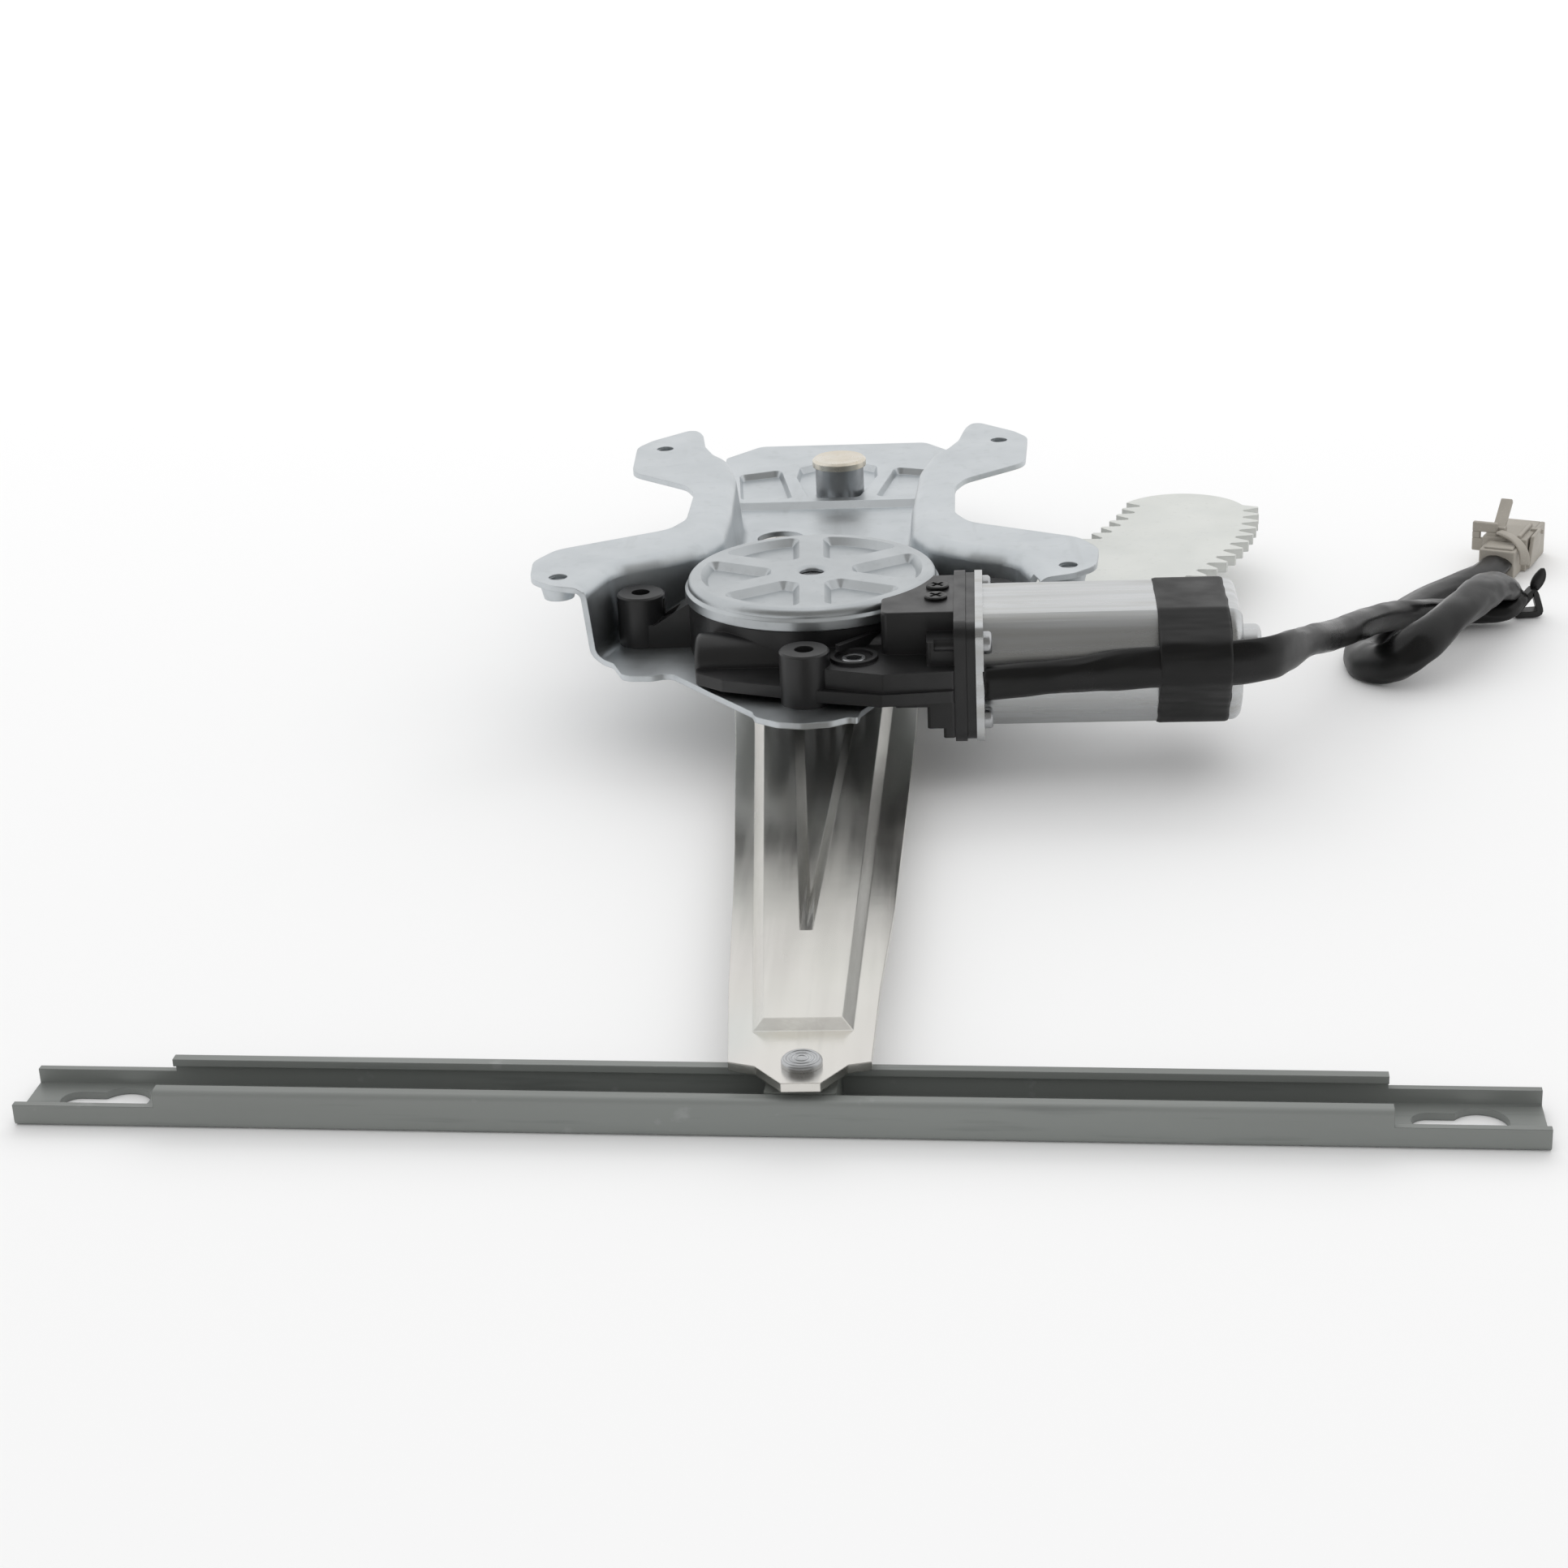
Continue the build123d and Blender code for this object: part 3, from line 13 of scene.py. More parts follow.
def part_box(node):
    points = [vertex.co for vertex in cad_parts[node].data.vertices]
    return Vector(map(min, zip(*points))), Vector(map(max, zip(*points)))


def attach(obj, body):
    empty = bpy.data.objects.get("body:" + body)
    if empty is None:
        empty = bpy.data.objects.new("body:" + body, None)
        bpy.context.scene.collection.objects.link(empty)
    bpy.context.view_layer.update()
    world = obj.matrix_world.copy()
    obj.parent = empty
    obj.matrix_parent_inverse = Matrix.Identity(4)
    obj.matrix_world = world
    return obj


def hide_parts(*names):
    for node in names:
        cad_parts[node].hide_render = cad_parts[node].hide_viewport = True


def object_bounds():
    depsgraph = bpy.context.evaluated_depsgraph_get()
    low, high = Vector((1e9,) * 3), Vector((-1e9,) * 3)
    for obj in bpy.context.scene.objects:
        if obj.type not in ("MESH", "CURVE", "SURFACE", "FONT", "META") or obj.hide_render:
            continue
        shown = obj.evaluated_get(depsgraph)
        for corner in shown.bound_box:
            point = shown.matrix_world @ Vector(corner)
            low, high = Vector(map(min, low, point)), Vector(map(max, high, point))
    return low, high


mm = 0.001

# The photograph: a square frame, its lens as a focal length in pixels of that frame
photo_width = 1932
photo_focal = 3600
sensor_width = 36.0
camera_place = Vector((45.8, -743.1, 241.0)) * mm
camera_heading = radians(4.3)
camera_pitch = radians(22.08)
camera_roll = radians(2.7)

# Values repeated from the CAD source
ear_places = [(-68.3, 0.0), (68.3, 0.0), (-51.2, 125.0), (51.2, 125.0)]
thread_bore_r = 2.55
thread_depth = 5.6
thread_pitch = 1.0
lead_in = 13.0
plug_place = (200.5, 111.0)
plug_turn = radians(-24)
ground = -43.5

# Thread ridge: how it starts, runs out and stands off the bore
thread_top = -0.3
thread_run_out = 0.6
thread_crest = 0.42
thread_flank = 0.36
thread_root = 0.12
thread_steps = 28

# Route of the leads, fitted to the photograph. The length in metres that they are declared with, which is
# that of the CAD's own route
harness_points = [(45.4, -50.3, -14.6), (58.0, -50.3, -13.6), (70.0, -50.2, -12.6), (83.0, -50.0, -11.4),
                  (115.0, -50.0, -10.4), (123.0, -38.5, -11.5), (130.0, -20.0, -15.5), (139.0, 2.0, -22.0),
                  (148.5, 22.0, -26.4), (158.0, 41.0, -30.2), (168.5, 57.0, -35.6), (180.0, 66.5, -39.0),
                  (188.5, 68.0, -39.2), (195.2, 68.5, -39.2), (199.0, 72.0, -37.4), (197.8, 72.5, -33.6),
                  (193.0, 65.5, -30.4), (187.8, 56.0, -28.2), (182.0, 44.5, -28.0), (173.5, 31.5, -28.8),
                  (165.0, 20.5, -32.2), (157.0, 19.0, -36.4), (150.5, 27.5, -38.7), (151.2, 41.5, -39.9),
                  (161.5, 62.5, -39.6), (177.0, 86.5, -39.4),
                  (plug_place[0] + lead_in * sin(plug_turn), plug_place[1] - lead_in * cos(plug_turn), -39.2),
                  (plug_place[0], plug_place[1], -39.2)]

# How wide and thick the sleeve is at each point of the route, and how far its broad side stands up in degrees
sleeve_sections = [(8.6, 5.6, 90), (8.6, 5.6, 90), (9.2, 5.8, 90), (10.4, 5.8, 90),
                   (12.0, 5.6, 90), (10.4, 5.2, 90), (8.2, 6.4, 88), (8.0, 7.0, 80),
                   (8.6, 7.4, 70), (9.2, 7.4, 60), (9.8, 7.4, 45), (10.0, 7.4, 30),
                   (9.6, 6.8, 10), (9.0, 6.2, 0), (8.6, 5.8, 10), (9.2, 6.0, 20),
                   (12.0, 7.2, 15), (12.8, 8.2, 5), (12.0, 8.2, 0), (11.4, 8.0, 10),
                   (11.8, 8.2, 35), (12.0, 8.0, 60), (11.4, 6.4, 40), (10.6, 5.0, 10),
                   (11.0, 4.8, 10), (11.0, 5.0, 10), (10.0, 6.0, 0), (9.0, 6.0, 0)]
sleeve_ring = 28
sleeve_crease = 0.16
sleeve_wrinkle = 0.07
spline_steps = 14

# Blocks of the plug: limits across it, along it from the leads and above the ground, and the top's lean
plug_neck = [((-5.4, 5.4), (0.0, 10.0), (0.0, 8.6), 0.0), ((-4.4, 4.4), (1.5, 8.0), (8.5, 9.2), 0.0)]
plug_shroud = [((-6.8, 6.8), (9.0, 19.0), (0.0, 10.0), 0.0), ((-7.3, -5.9), (18.5, 29.5), (0.0, 10.0), 0.0),
               ((5.9, 7.3), (18.5, 29.5), (0.0, 10.0), 0.0), ((-6.0, 6.0), (18.5, 29.5), (8.8, 10.0), 0.0),
               ((-6.0, 6.0), (18.5, 29.5), (0.0, 1.2), 0.0)]
plug_window_wing = [((-10.2, -2.6), (9.6, 11.4), (11.0, 14.0), 0.0),
                    ((-10.2, -2.6), (9.6, 11.4), (5.0, 9.0), 0.0),
                    ((-10.2, -7.8), (9.6, 11.4), (8.9, 11.1), 0.0),
                    ((-5.8, -2.6), (9.6, 11.4), (8.9, 11.1), 0.0)]
plug_right_wing = [((6.6, 7.8), (10.0, 20.0), (0.8, 11.0), 1.0),
                   ((5.4, 9.4), (18.6, 20.0), (9.4, 10.8), 0.0),
                   ((3.6, 4.8), (9.6, 24.0), (9.8, 11.0), 0.0)]
plug_hinge = [((-4.8, -0.6), (11.0, 14.0), (9.8, 12.6), 0.0)]
plug_edge = 0.45
strip_edge = 0.4
strip_steps = 14

# The clip: its three corners seen from the front, about its middle, and the leaf on its top
clip_place = (203.5, 75.2)
clip_high = 8.6
clip_bend = 1.6
clip_half_thick = 0.9
clip_half_wide = 2.2
leaf_steps = 8
leaf_half_thick = 0.5

# The motor can and the tape round it
motor_y = -26.3
motor_z = -15.0
can_r = 19.4
can_flat = 15.0
tape_start = 89.5
tape_end = 107.5
tape_thick = 0.5
tape_leads = (-50.0, -10.4)
tape_section = 3.7
tape_ring = 180
tape_rows = 24
inner_share = 0.97
can_steps = 120
leads_steps = 48
leads_slack = 0.3
leads_swell = 1.05

# Turned rings on the guide stud: radius and thickness
rivet_ring_sizes = ((3.4, 0.34), (2.3, 0.30), (1.2, 0.30))
rivet_ring_flat = 0.55
rivet_steps = 48
rivet_section_steps = 8

# Slope by which the arm's shading leans back along it, in metres per metre
arm_bow = 0.09

# The studio, in metres, degrees and strengths of light
floor_size = 16.0
floor_pale = (0.90, 0.90, 0.90, 1.0)
surround_diffuse = 0.93
card_reach = 1.5
card_half = 66
card_rise = 72
card_steps = 24
card_rows = 8
card_level = 0.26
card_warm = (1.0, 0.98, 0.94, 1.0)
softbox_size = (2.6, 1.5)
softbox_place = Vector((0.15, 1.7, 1.25))
softbox_level = 1.2

square = ((-1, -1), (1, -1), (1, 1), (-1, 1))

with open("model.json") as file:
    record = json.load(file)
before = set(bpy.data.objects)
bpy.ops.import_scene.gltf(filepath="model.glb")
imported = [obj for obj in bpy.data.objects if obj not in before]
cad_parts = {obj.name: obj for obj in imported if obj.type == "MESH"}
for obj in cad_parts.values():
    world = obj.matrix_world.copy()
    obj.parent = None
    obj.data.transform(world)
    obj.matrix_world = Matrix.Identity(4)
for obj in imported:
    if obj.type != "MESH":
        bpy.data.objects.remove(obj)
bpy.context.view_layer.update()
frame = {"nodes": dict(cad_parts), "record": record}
scene = bpy.context.scene


class Surface:
    """A node material with object-space patterns that are added one by one."""

    def __init__(self, name, colour, roughness, metallic=0.0):
        self.material = bpy.data.materials.new(name)
        self.material.use_nodes = True
        self.nodes = self.material.node_tree.nodes
        self.links = self.material.node_tree.links
        self.shader = self.nodes["Principled BSDF"]
        self.shader.inputs["Metallic"].default_value = metallic
        self.shader.inputs["Base Color"].default_value = (*colour, 1.0)
        self.shader.inputs["Roughness"].default_value = roughness
        self.place = self.nodes.new("ShaderNodeTexCoord").outputs["Object"]
        self.colour = None
        self.colour_value = (*colour, 1.0)
        self.roughness = None
        self.roughness_value = roughness
        self.normal = None

    def pattern(self, scale, stretch=(1.0, 1.0, 1.0), detail=4.0, low=0.35, high=0.65):
        """A pattern of about 1/scale metres, drawn out along the axes with a small stretch, as 0 to 1."""
        mapping = self.nodes.new("ShaderNodeMapping")
        mapping.inputs["Scale"].default_value = stretch
        self.links.new(self.place, mapping.inputs["Vector"])
        texture = self.nodes.new("ShaderNodeTexNoise")
        texture.inputs["Scale"].default_value = scale
        texture.inputs["Detail"].default_value = detail
        self.links.new(mapping.outputs["Vector"], texture.inputs["Vector"])
        spread = self.nodes.new("ShaderNodeMapRange")
        spread.inputs["From Min"].default_value = low
        spread.inputs["From Max"].default_value = high
        self.links.new(texture.outputs["Fac"], spread.inputs["Value"])
        return spread.outputs["Result"]

    def tint(self, pattern, colour, amount=1.0):
        """Mix another colour in where the pattern is high."""
        strength = self.nodes.new("ShaderNodeMath")
        strength.operation = "MULTIPLY"
        strength.inputs[1].default_value = amount
        self.links.new(pattern, strength.inputs[0])
        mix = self.nodes.new("ShaderNodeMix")
        mix.data_type = "RGBA"
        self.links.new(strength.outputs["Value"], mix.inputs["Factor"])
        if self.colour is None:
            mix.inputs["A"].default_value = self.colour_value
        else:
            self.links.new(self.colour, mix.inputs["A"])
        mix.inputs["B"].default_value = (*colour, 1.0)
        self.colour = mix.outputs["Result"]
        self.links.new(self.colour, self.shader.inputs["Base Color"])
        return self

    def roughen(self, pattern, amount):
        """Add to the roughness where the pattern is high, or take away with a negative amount."""
        step = self.nodes.new("ShaderNodeMath")
        step.operation = "MULTIPLY_ADD"
        step.inputs[1].default_value = amount
        self.links.new(pattern, step.inputs[0])
        if self.roughness is None:
            step.inputs[2].default_value = self.roughness_value
        else:
            self.links.new(self.roughness, step.inputs[2])
        self.roughness = step.outputs["Value"]
        self.links.new(self.roughness, self.shader.inputs["Roughness"])
        return self

    def emboss(self, pattern, height, strength=1.0):
        """Raise the surface by height in metres where the pattern is high."""
        bump = self.nodes.new("ShaderNodeBump")
        bump.inputs["Strength"].default_value = strength
        bump.inputs["Distance"].default_value = height
        self.links.new(pattern, bump.inputs["Height"])
        if self.normal is not None:
            self.links.new(self.normal, bump.inputs["Normal"])
        self.normal = bump.outputs["Normal"]
        self.links.new(self.normal, self.shader.inputs["Normal"])
        return self

    def bow(self, slope):
        """Lean the surface back as a long shallow bow along Y would, by slope in metres per metre."""
        apart = self.nodes.new("ShaderNodeSeparateXYZ")
        self.links.new(self.place, apart.inputs["Vector"])
        bump = self.nodes.new("ShaderNodeBump")
        bump.invert = True
        bump.inputs["Distance"].default_value = slope
        self.links.new(apart.outputs["Y"], bump.inputs["Height"])
        self.links.new(self.normal, bump.inputs["Normal"])
        self.normal = bump.outputs["Normal"]
        return self

    def soften_edges(self, radius):
        """Round the look of sharp edges."""
        bevel = self.nodes.new("ShaderNodeBevel")
        bevel.samples = 4
        bevel.inputs["Radius"].default_value = radius
        self.normal = bevel.outputs["Normal"]
        self.links.new(self.normal, self.shader.inputs["Normal"])
        return self


def plate_zinc():
    """Dull zinc plating on pressed steel: pale blotches, a fine grain and rubbed streaks."""
    s = Surface("plate_zinc", (0.56, 0.59, 0.61), 0.36, 1.0).soften_edges(0.4 * mm)
    s.tint(s.pattern(45, detail=5), (0.63, 0.66, 0.68), 0.7)
    s.tint(s.pattern(260, detail=3, low=0.55, high=0.75), (0.46, 0.49, 0.50), 0.35)
    s.tint(s.pattern(120, stretch=(1.0, 0.12, 1.0), low=0.62, high=0.72), (0.42, 0.44, 0.45), 0.30)
    s.roughen(s.pattern(70, detail=5), 0.10)
    s.emboss(s.pattern(2600, detail=2), 0.02 * mm, 0.25)
    s.emboss(s.pattern(90, detail=3), 0.05 * mm, 0.30)
    return s.material


def cover_zinc():
    """Finer, slightly bluer zinc on the round cover."""
    s = Surface("cover_zinc", (0.47, 0.495, 0.51), 0.34, 1.0).soften_edges(0.35 * mm)
    s.tint(s.pattern(60, detail=4), (0.55, 0.575, 0.59), 0.6)
    s.tint(s.pattern(400, detail=3, low=0.58, high=0.75), (0.40, 0.42, 0.43), 0.4)
    s.roughen(s.pattern(80, detail=4), 0.08)
    s.emboss(s.pattern(2600, detail=2), 0.015 * mm, 0.25)
    return s.material


def arm_zinc():
    """Bright zinc with a faint rainbow, rubbed along the arm, its shading leaned back along Y as a slight bow
    would.
    """
    s = Surface("arm_zinc", (0.70, 0.69, 0.645), 0.15, 1.0).soften_edges(0.4 * mm)
    s.tint(s.pattern(16, detail=2), (0.74, 0.65, 0.68), 0.30)
    s.tint(s.pattern(22, stretch=(1.0, 0.6, 1.0), detail=2, low=0.5, high=0.7), (0.60, 0.70, 0.71), 0.35)
    s.tint(s.pattern(13, detail=1, low=0.52, high=0.7), (0.70, 0.72, 0.58), 0.25)
    s.tint(s.pattern(300, stretch=(1.0, 0.04, 1.0), low=0.6, high=0.72), (0.56, 0.55, 0.52), 0.25)
    s.roughen(s.pattern(240, stretch=(1.0, 0.05, 1.0), detail=5), 0.08)
    s.roughen(s.pattern(30, detail=3), 0.05)
    s.bow(arm_bow)
    s.emboss(s.pattern(60, detail=3), 0.04 * mm, 0.25)
    s.emboss(s.pattern(1500, stretch=(1.0, 0.05, 1.0), detail=2), 0.01 * mm, 0.15)
    return s.material


def sector_steel():
    """Pale dull coating on the sector, with small darker patches."""
    s = Surface("sector_steel", (0.66, 0.675, 0.65), 0.50, 0.35).soften_edges(0.35 * mm)
    s.tint(s.pattern(60, detail=5), (0.72, 0.73, 0.70), 0.6)
    s.tint(s.pattern(500, detail=3, low=0.6, high=0.8), (0.48, 0.48, 0.45), 0.30)
    s.roughen(s.pattern(90, detail=4), 0.10)
    s.emboss(s.pattern(1800, detail=2), 0.02 * mm, 0.20)
    return s.material


def channel_steel():
    """Grey rolled steel, streaked along the channel."""
    s = Surface("channel_steel", (0.19, 0.20, 0.19), 0.40, 0.10).soften_edges(0.35 * mm)
    s.tint(s.pattern(60, stretch=(0.05, 1.0, 1.0), detail=5), (0.23, 0.245, 0.235), 0.6)
    s.tint(s.pattern(420, stretch=(0.03, 1.0, 1.0), low=0.6, high=0.75), (0.13, 0.14, 0.135), 0.5)
    s.tint(s.pattern(120, detail=4, low=0.68, high=0.75), (0.34, 0.35, 0.35), 0.35)
    s.roughen(s.pattern(80, stretch=(0.1, 1.0, 1.0), detail=5), 0.15)
    s.emboss(s.pattern(1200, stretch=(0.03, 1.0, 1.0), detail=2), 0.02 * mm, 0.25)
    return s.material


def pin_gold():
    """Yellow-passivated zinc on the pivot's head."""
    s = Surface("pin_gold", (0.66, 0.60, 0.50), 0.24, 1.0).soften_edges(0.3 * mm)
    s.tint(s.pattern(120, detail=3), (0.72, 0.70, 0.64), 0.6)
    s.tint(s.pattern(500, detail=3, low=0.6, high=0.75), (0.50, 0.41, 0.27), 0.4)
    s.roughen(s.pattern(300, detail=4), 0.12)
    return s.material


def steel(name, colour, roughness):
    """Turned or pressed steel with a light stain and a fine grain."""
    s = Surface(name, colour, roughness, 1.0).soften_edges(0.2 * mm)
    s.tint(s.pattern(200, detail=4), tuple(0.75 * c for c in colour), 0.5)
    s.roughen(s.pattern(400, detail=4), 0.12)
    s.emboss(s.pattern(2500, detail=2), 0.01 * mm, 0.20)
    return s.material


def can_zinc():
    """Drawn motor can: fine lines along its length and a dull warm stain."""
    s = Surface("can_zinc", (0.56, 0.575, 0.585), 0.24, 1.0)
    s.tint(s.pattern(500, stretch=(0.03, 1.0, 1.0), detail=6), (0.45, 0.45, 0.43), 0.6)
    s.tint(s.pattern(45, stretch=(0.3, 1.0, 1.0), detail=4), (0.62, 0.63, 0.64), 0.5)
    stain = s.pattern(160, stretch=(0.15, 1.0, 1.0), detail=4, low=0.58, high=0.72)
    s.tint(stain, (0.36, 0.35, 0.31), 0.45)
    s.roughen(s.pattern(300, stretch=(0.05, 1.0, 1.0), detail=5), 0.14)
    s.emboss(s.pattern(1500, stretch=(0.02, 1.0, 1.0), detail=3), 0.02 * mm, 0.30)
    return s.material


def moulded(name, colour, roughness, grain=1.0):
    """Moulded plastic with a fine sparkle of fibres and faint flow marks."""
    s = Surface(name, colour, roughness).soften_edges(0.3 * mm)
    s.tint(s.pattern(90, detail=5), tuple(1.3 * c for c in colour), 0.5)
    s.tint(s.pattern(2200, detail=2, low=0.62, high=0.75), tuple(1.8 * c for c in colour), 0.4)
    s.roughen(s.pattern(120, detail=5), 0.12)
    s.emboss(s.pattern(1800, detail=3), 0.02 * mm, 0.20 * grain)
    return s.material


def vinyl(name, colour, roughness):
    """Smooth soft vinyl with shallow wrinkles, a little scuffed."""
    s = Surface(name, colour, roughness)
    s.shader.inputs["Specular IOR Level"].default_value = 0.32
    s.tint(s.pattern(160, detail=4), tuple(1.5 * c for c in colour), 0.5)
    s.tint(s.pattern(700, detail=3, low=0.68, high=0.76), tuple(4.0 * c for c in colour), 0.30)
    s.roughen(s.pattern(60, detail=4), 0.16)
    s.emboss(s.pattern(70, detail=2), 0.35 * mm, 0.20)
    s.emboss(s.pattern(900, detail=2), 0.015 * mm, 0.20)
    return s.material


def plain_pale(name, colour, roughness):
    """Pale nylon with a soft mottle."""
    s = Surface(name, colour, roughness)
    s.tint(s.pattern(150, detail=4), tuple(0.88 * c for c in colour), 0.6)
    s.emboss(s.pattern(900, detail=3), 0.02 * mm, 0.3)
    return s.material


finishes = {
    "plate_zinc": plate_zinc(),
    "arm_zinc": arm_zinc(),
    "sector_steel": sector_steel(),
    "channel_steel": channel_steel(),
    "pin_gold": pin_gold(),
    "bush_steel": steel("bush_steel", (0.42, 0.43, 0.44), 0.30),
    "pin_steel": steel("pin_steel", (0.52, 0.53, 0.54), 0.26),
    "can_zinc": can_zinc(),
    "housing_black": moulded("housing_black", (0.009, 0.009, 0.0095), 0.33),
    "plug_taupe": moulded("plug_taupe", (0.33, 0.305, 0.265), 0.45, grain=0.5),
    "clip_black": moulded("clip_black", (0.006, 0.006, 0.006), 0.40),
    "tape_black": vinyl("tape_black", (0.004, 0.004, 0.004), 0.36),
    "sleeve_black": vinyl("sleeve_black", (0.004, 0.004, 0.004), 0.24),
    "nylon_white": plain_pale("nylon_white", (0.62, 0.62, 0.58), 0.45),
    "damper_rubber": moulded("damper_rubber", (0.02, 0.02, 0.02), 0.6),
    "carbon": moulded("carbon", (0.03, 0.03, 0.03), 0.5),
    "ferrite": steel("ferrite", (0.12, 0.12, 0.13), 0.5),
    "bronze": steel("bronze", (0.55, 0.40, 0.22), 0.35),
    "copper": steel("copper", (0.70, 0.36, 0.20), 0.30),
    "core_iron": steel("core_iron", (0.25, 0.25, 0.26), 0.4),
}
# Nodes that look different from the rest of their slot
special_finishes = {
    "housing_cover": cover_zinc(),
    "block_screws": steel("screw_black", (0.05, 0.05, 0.05), 0.32),
    "guide_block": plain_pale("guide_grey", (0.16, 0.17, 0.157), 0.45),
}

for row in frame["record"]["subparts"]:
    node = frame["nodes"][row["node"]]
    node.data.materials.clear()
    node.data.materials.append(special_finishes.get(row["node"], finishes[row["material_slot"]]))


def add_piece(name, mesh, slot, body):
    """A mesh as a piece that rides on a body, in that slot's finish."""
    piece = bpy.data.objects.new(name, mesh)
    scene.collection.objects.link(piece)
    piece.data.materials.append(finishes[slot])
    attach(piece, body)
    return piece


def turns(count):
    """Angles of that many points, evenly spaced round a circle."""
    return [2 * pi * step / count for step in range(count)]


def sides_of(line, count):
    """Directions level and upright to a line of points, at one of them."""
    forward = (line[min(count + 1, len(line) - 1)] - line[max(count - 1, 0)]).normalized()
    side = forward.cross(Vector((0.0, 0.0, 1.0))).normalized()
    return side, side.cross(forward)


def tube_mesh(name, rings, joined=False):
    """A tube through rings of points, with flat ends or joined end to end."""
    build = bmesh.new()
    rows = [[build.verts.new(place) for place in ring] for ring in rings]
    for row, following in zip(rows, rows[1:] + rows[:1] if joined else rows[1:]):
        for count, vertex in enumerate(row):
            after = (count + 1) % len(row)
            build.faces.new((vertex, row[after], following[after], following[count]))
    if not joined:
        build.faces.new(reversed(rows[0]))
        build.faces.new(rows[-1])
    bmesh.ops.recalc_face_normals(build, faces=build.faces)
    mesh = bpy.data.meshes.new(name)
    build.to_mesh(mesh)
    build.free()
    mesh.shade_smooth()
    return mesh


def route_line(name, points):
    """Points along the smooth spline that has the route's points as its control points, in metres."""
    curve = bpy.data.curves.new(name, "CURVE")
    curve.dimensions = "3D"
    curve.resolution_u = spline_steps
    spline = curve.splines.new("NURBS")
    spline.points.add(len(points) - 1)
    for point, place in zip(spline.points, points):
        point.co = (*(Vector(place) * mm), 1.0)
    spline.order_u = 3
    spline.use_endpoint_u = True
    holder = bpy.data.objects.new(name, curve)
    scene.collection.objects.link(holder)
    bpy.context.view_layer.update()
    mesh = bpy.data.meshes.new_from_object(holder)
    line = [vertex.co.copy() for vertex in mesh.vertices]
    bpy.data.meshes.remove(mesh)
    bpy.data.objects.remove(holder)
    bpy.data.curves.remove(curve)
    return line


def between(rows, place):
    """Value of a list of rows at a place between two of them."""
    place = min(max(place, 0.0), len(rows) - 1.0)
    low = min(int(place), len(rows) - 2)
    share = place - low
    share = share * share * (3.0 - 2.0 * share)
    return [a + (b - a) * share for a, b in zip(rows[low], rows[low + 1])]


def harness():
    """The sleeved leads: a soft vinyl tube, flattened and creased where it is pressed, folded or bent."""
    centres = route_line("route", harness_points)
    rings = []
    for count, centre in enumerate(centres):
        along = count / (len(centres) - 1) * (len(harness_points) - 2) + 0.5
        wide, thick, lean = between(sleeve_sections, along if count else 0.0)
        side, up = sides_of(centres, count)
        broad = side * cos(radians(lean)) + up * sin(radians(lean))
        narrow = up * cos(radians(lean)) - side * sin(radians(lean))
        ring = []
        for turn in turns(sleeve_ring):
            spot = Vector((along * 0.8, 1.1 * cos(turn), 1.1 * sin(turn)))
            crease = 1.0 + sleeve_crease * noise.noise(spot) + sleeve_wrinkle * noise.noise(spot * 2.7)
            reach = broad * (cos(turn) * wide / 2) + narrow * (sin(turn) * thick / 2)
            ring.append(centre + reach * crease * mm)
        rings.append(ring)
    piece = add_piece("leads", tube_mesh("leads", rings), "sleeve_black", "base")
    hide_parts("harness")
    on_it = [plug(), clip(), frame["nodes"]["plug_terminals"]]


def plug_point(across, along, high):
    """Place of a point of the plug: across it, along it from the leads, and above the ground."""
    return Vector((plug_place[0] + across * cos(plug_turn) - along * sin(plug_turn),
                   plug_place[1] + across * sin(plug_turn) + along * cos(plug_turn), ground + high)) * mm


def plug_block(build, across, along, high, lean):
    """A block of the plug between limits across, along and up; its upper edge may lean sideways."""
    corners = [build.verts.new(plug_point(a + (lean if h == high[1] else 0.0), b, h))
               for a in across for b in along for h in high]
    for face in ((0, 1, 3, 2), (4, 6, 7, 5), (0, 4, 5, 1), (2, 3, 7, 6), (0, 2, 6, 4), (1, 5, 7, 3)):
        build.faces.new([corners[index] for index in face])


def round_edges(piece, width, segments):
    """Round a piece's edges by a width in millimetres."""
    bevel = piece.modifiers.new("edges", "BEVEL")
    bevel.width = width * mm
    bevel.segments = segments


def plug_strip(name, line, half_wide, half_thick):
    """A strip of the plug's material along a line of points."""
    rings = []
    for count, centre in enumerate(line):
        side, up = sides_of(line, count)
        rings.append([centre + (side * (half_wide * a) + up * (half_thick * b)) * mm for a, b in square])
    round_edges(add_piece(name, tube_mesh(name, rings), "plug_taupe", "base"), strip_edge, 3)


def plug():
    """Moulded plug: neck, shroud with an open mouth, a wing with a window, a lever and a strap."""
    build = bmesh.new()
    for block in plug_neck + plug_shroud + plug_window_wing + plug_right_wing + plug_hinge:
        plug_block(build, *block)
    bmesh.ops.recalc_face_normals(build, faces=build.faces)
    mesh = bpy.data.meshes.new("plug")
    build.to_mesh(mesh)
    build.free()
    piece = add_piece("plug", mesh, "plug_taupe", "base")
    round_edges(piece, plug_edge, 2)
    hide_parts("plug_housing")
    # the strap arches from the hinge down the right side, and the lever stands up and back from the hinge
    shares = [step / strip_steps for step in range(strip_steps + 1)]
    strap = [plug_point(-2.0 + 10.0 * sin(pi / 2 * share), 9.4 - 7.4 * share, 11.6 - 7.2 * share ** 2)
             for share in shares]
    lever = [plug_point(-2.7, 11.5 + 9.5 * share, 11.0 + 7.4 * share) for share in shares]
    plug_strip("plug_strap", strap, 1.5, 0.5)
    plug_strip("plug_lever", lever, 1.8, 0.9)
    return piece


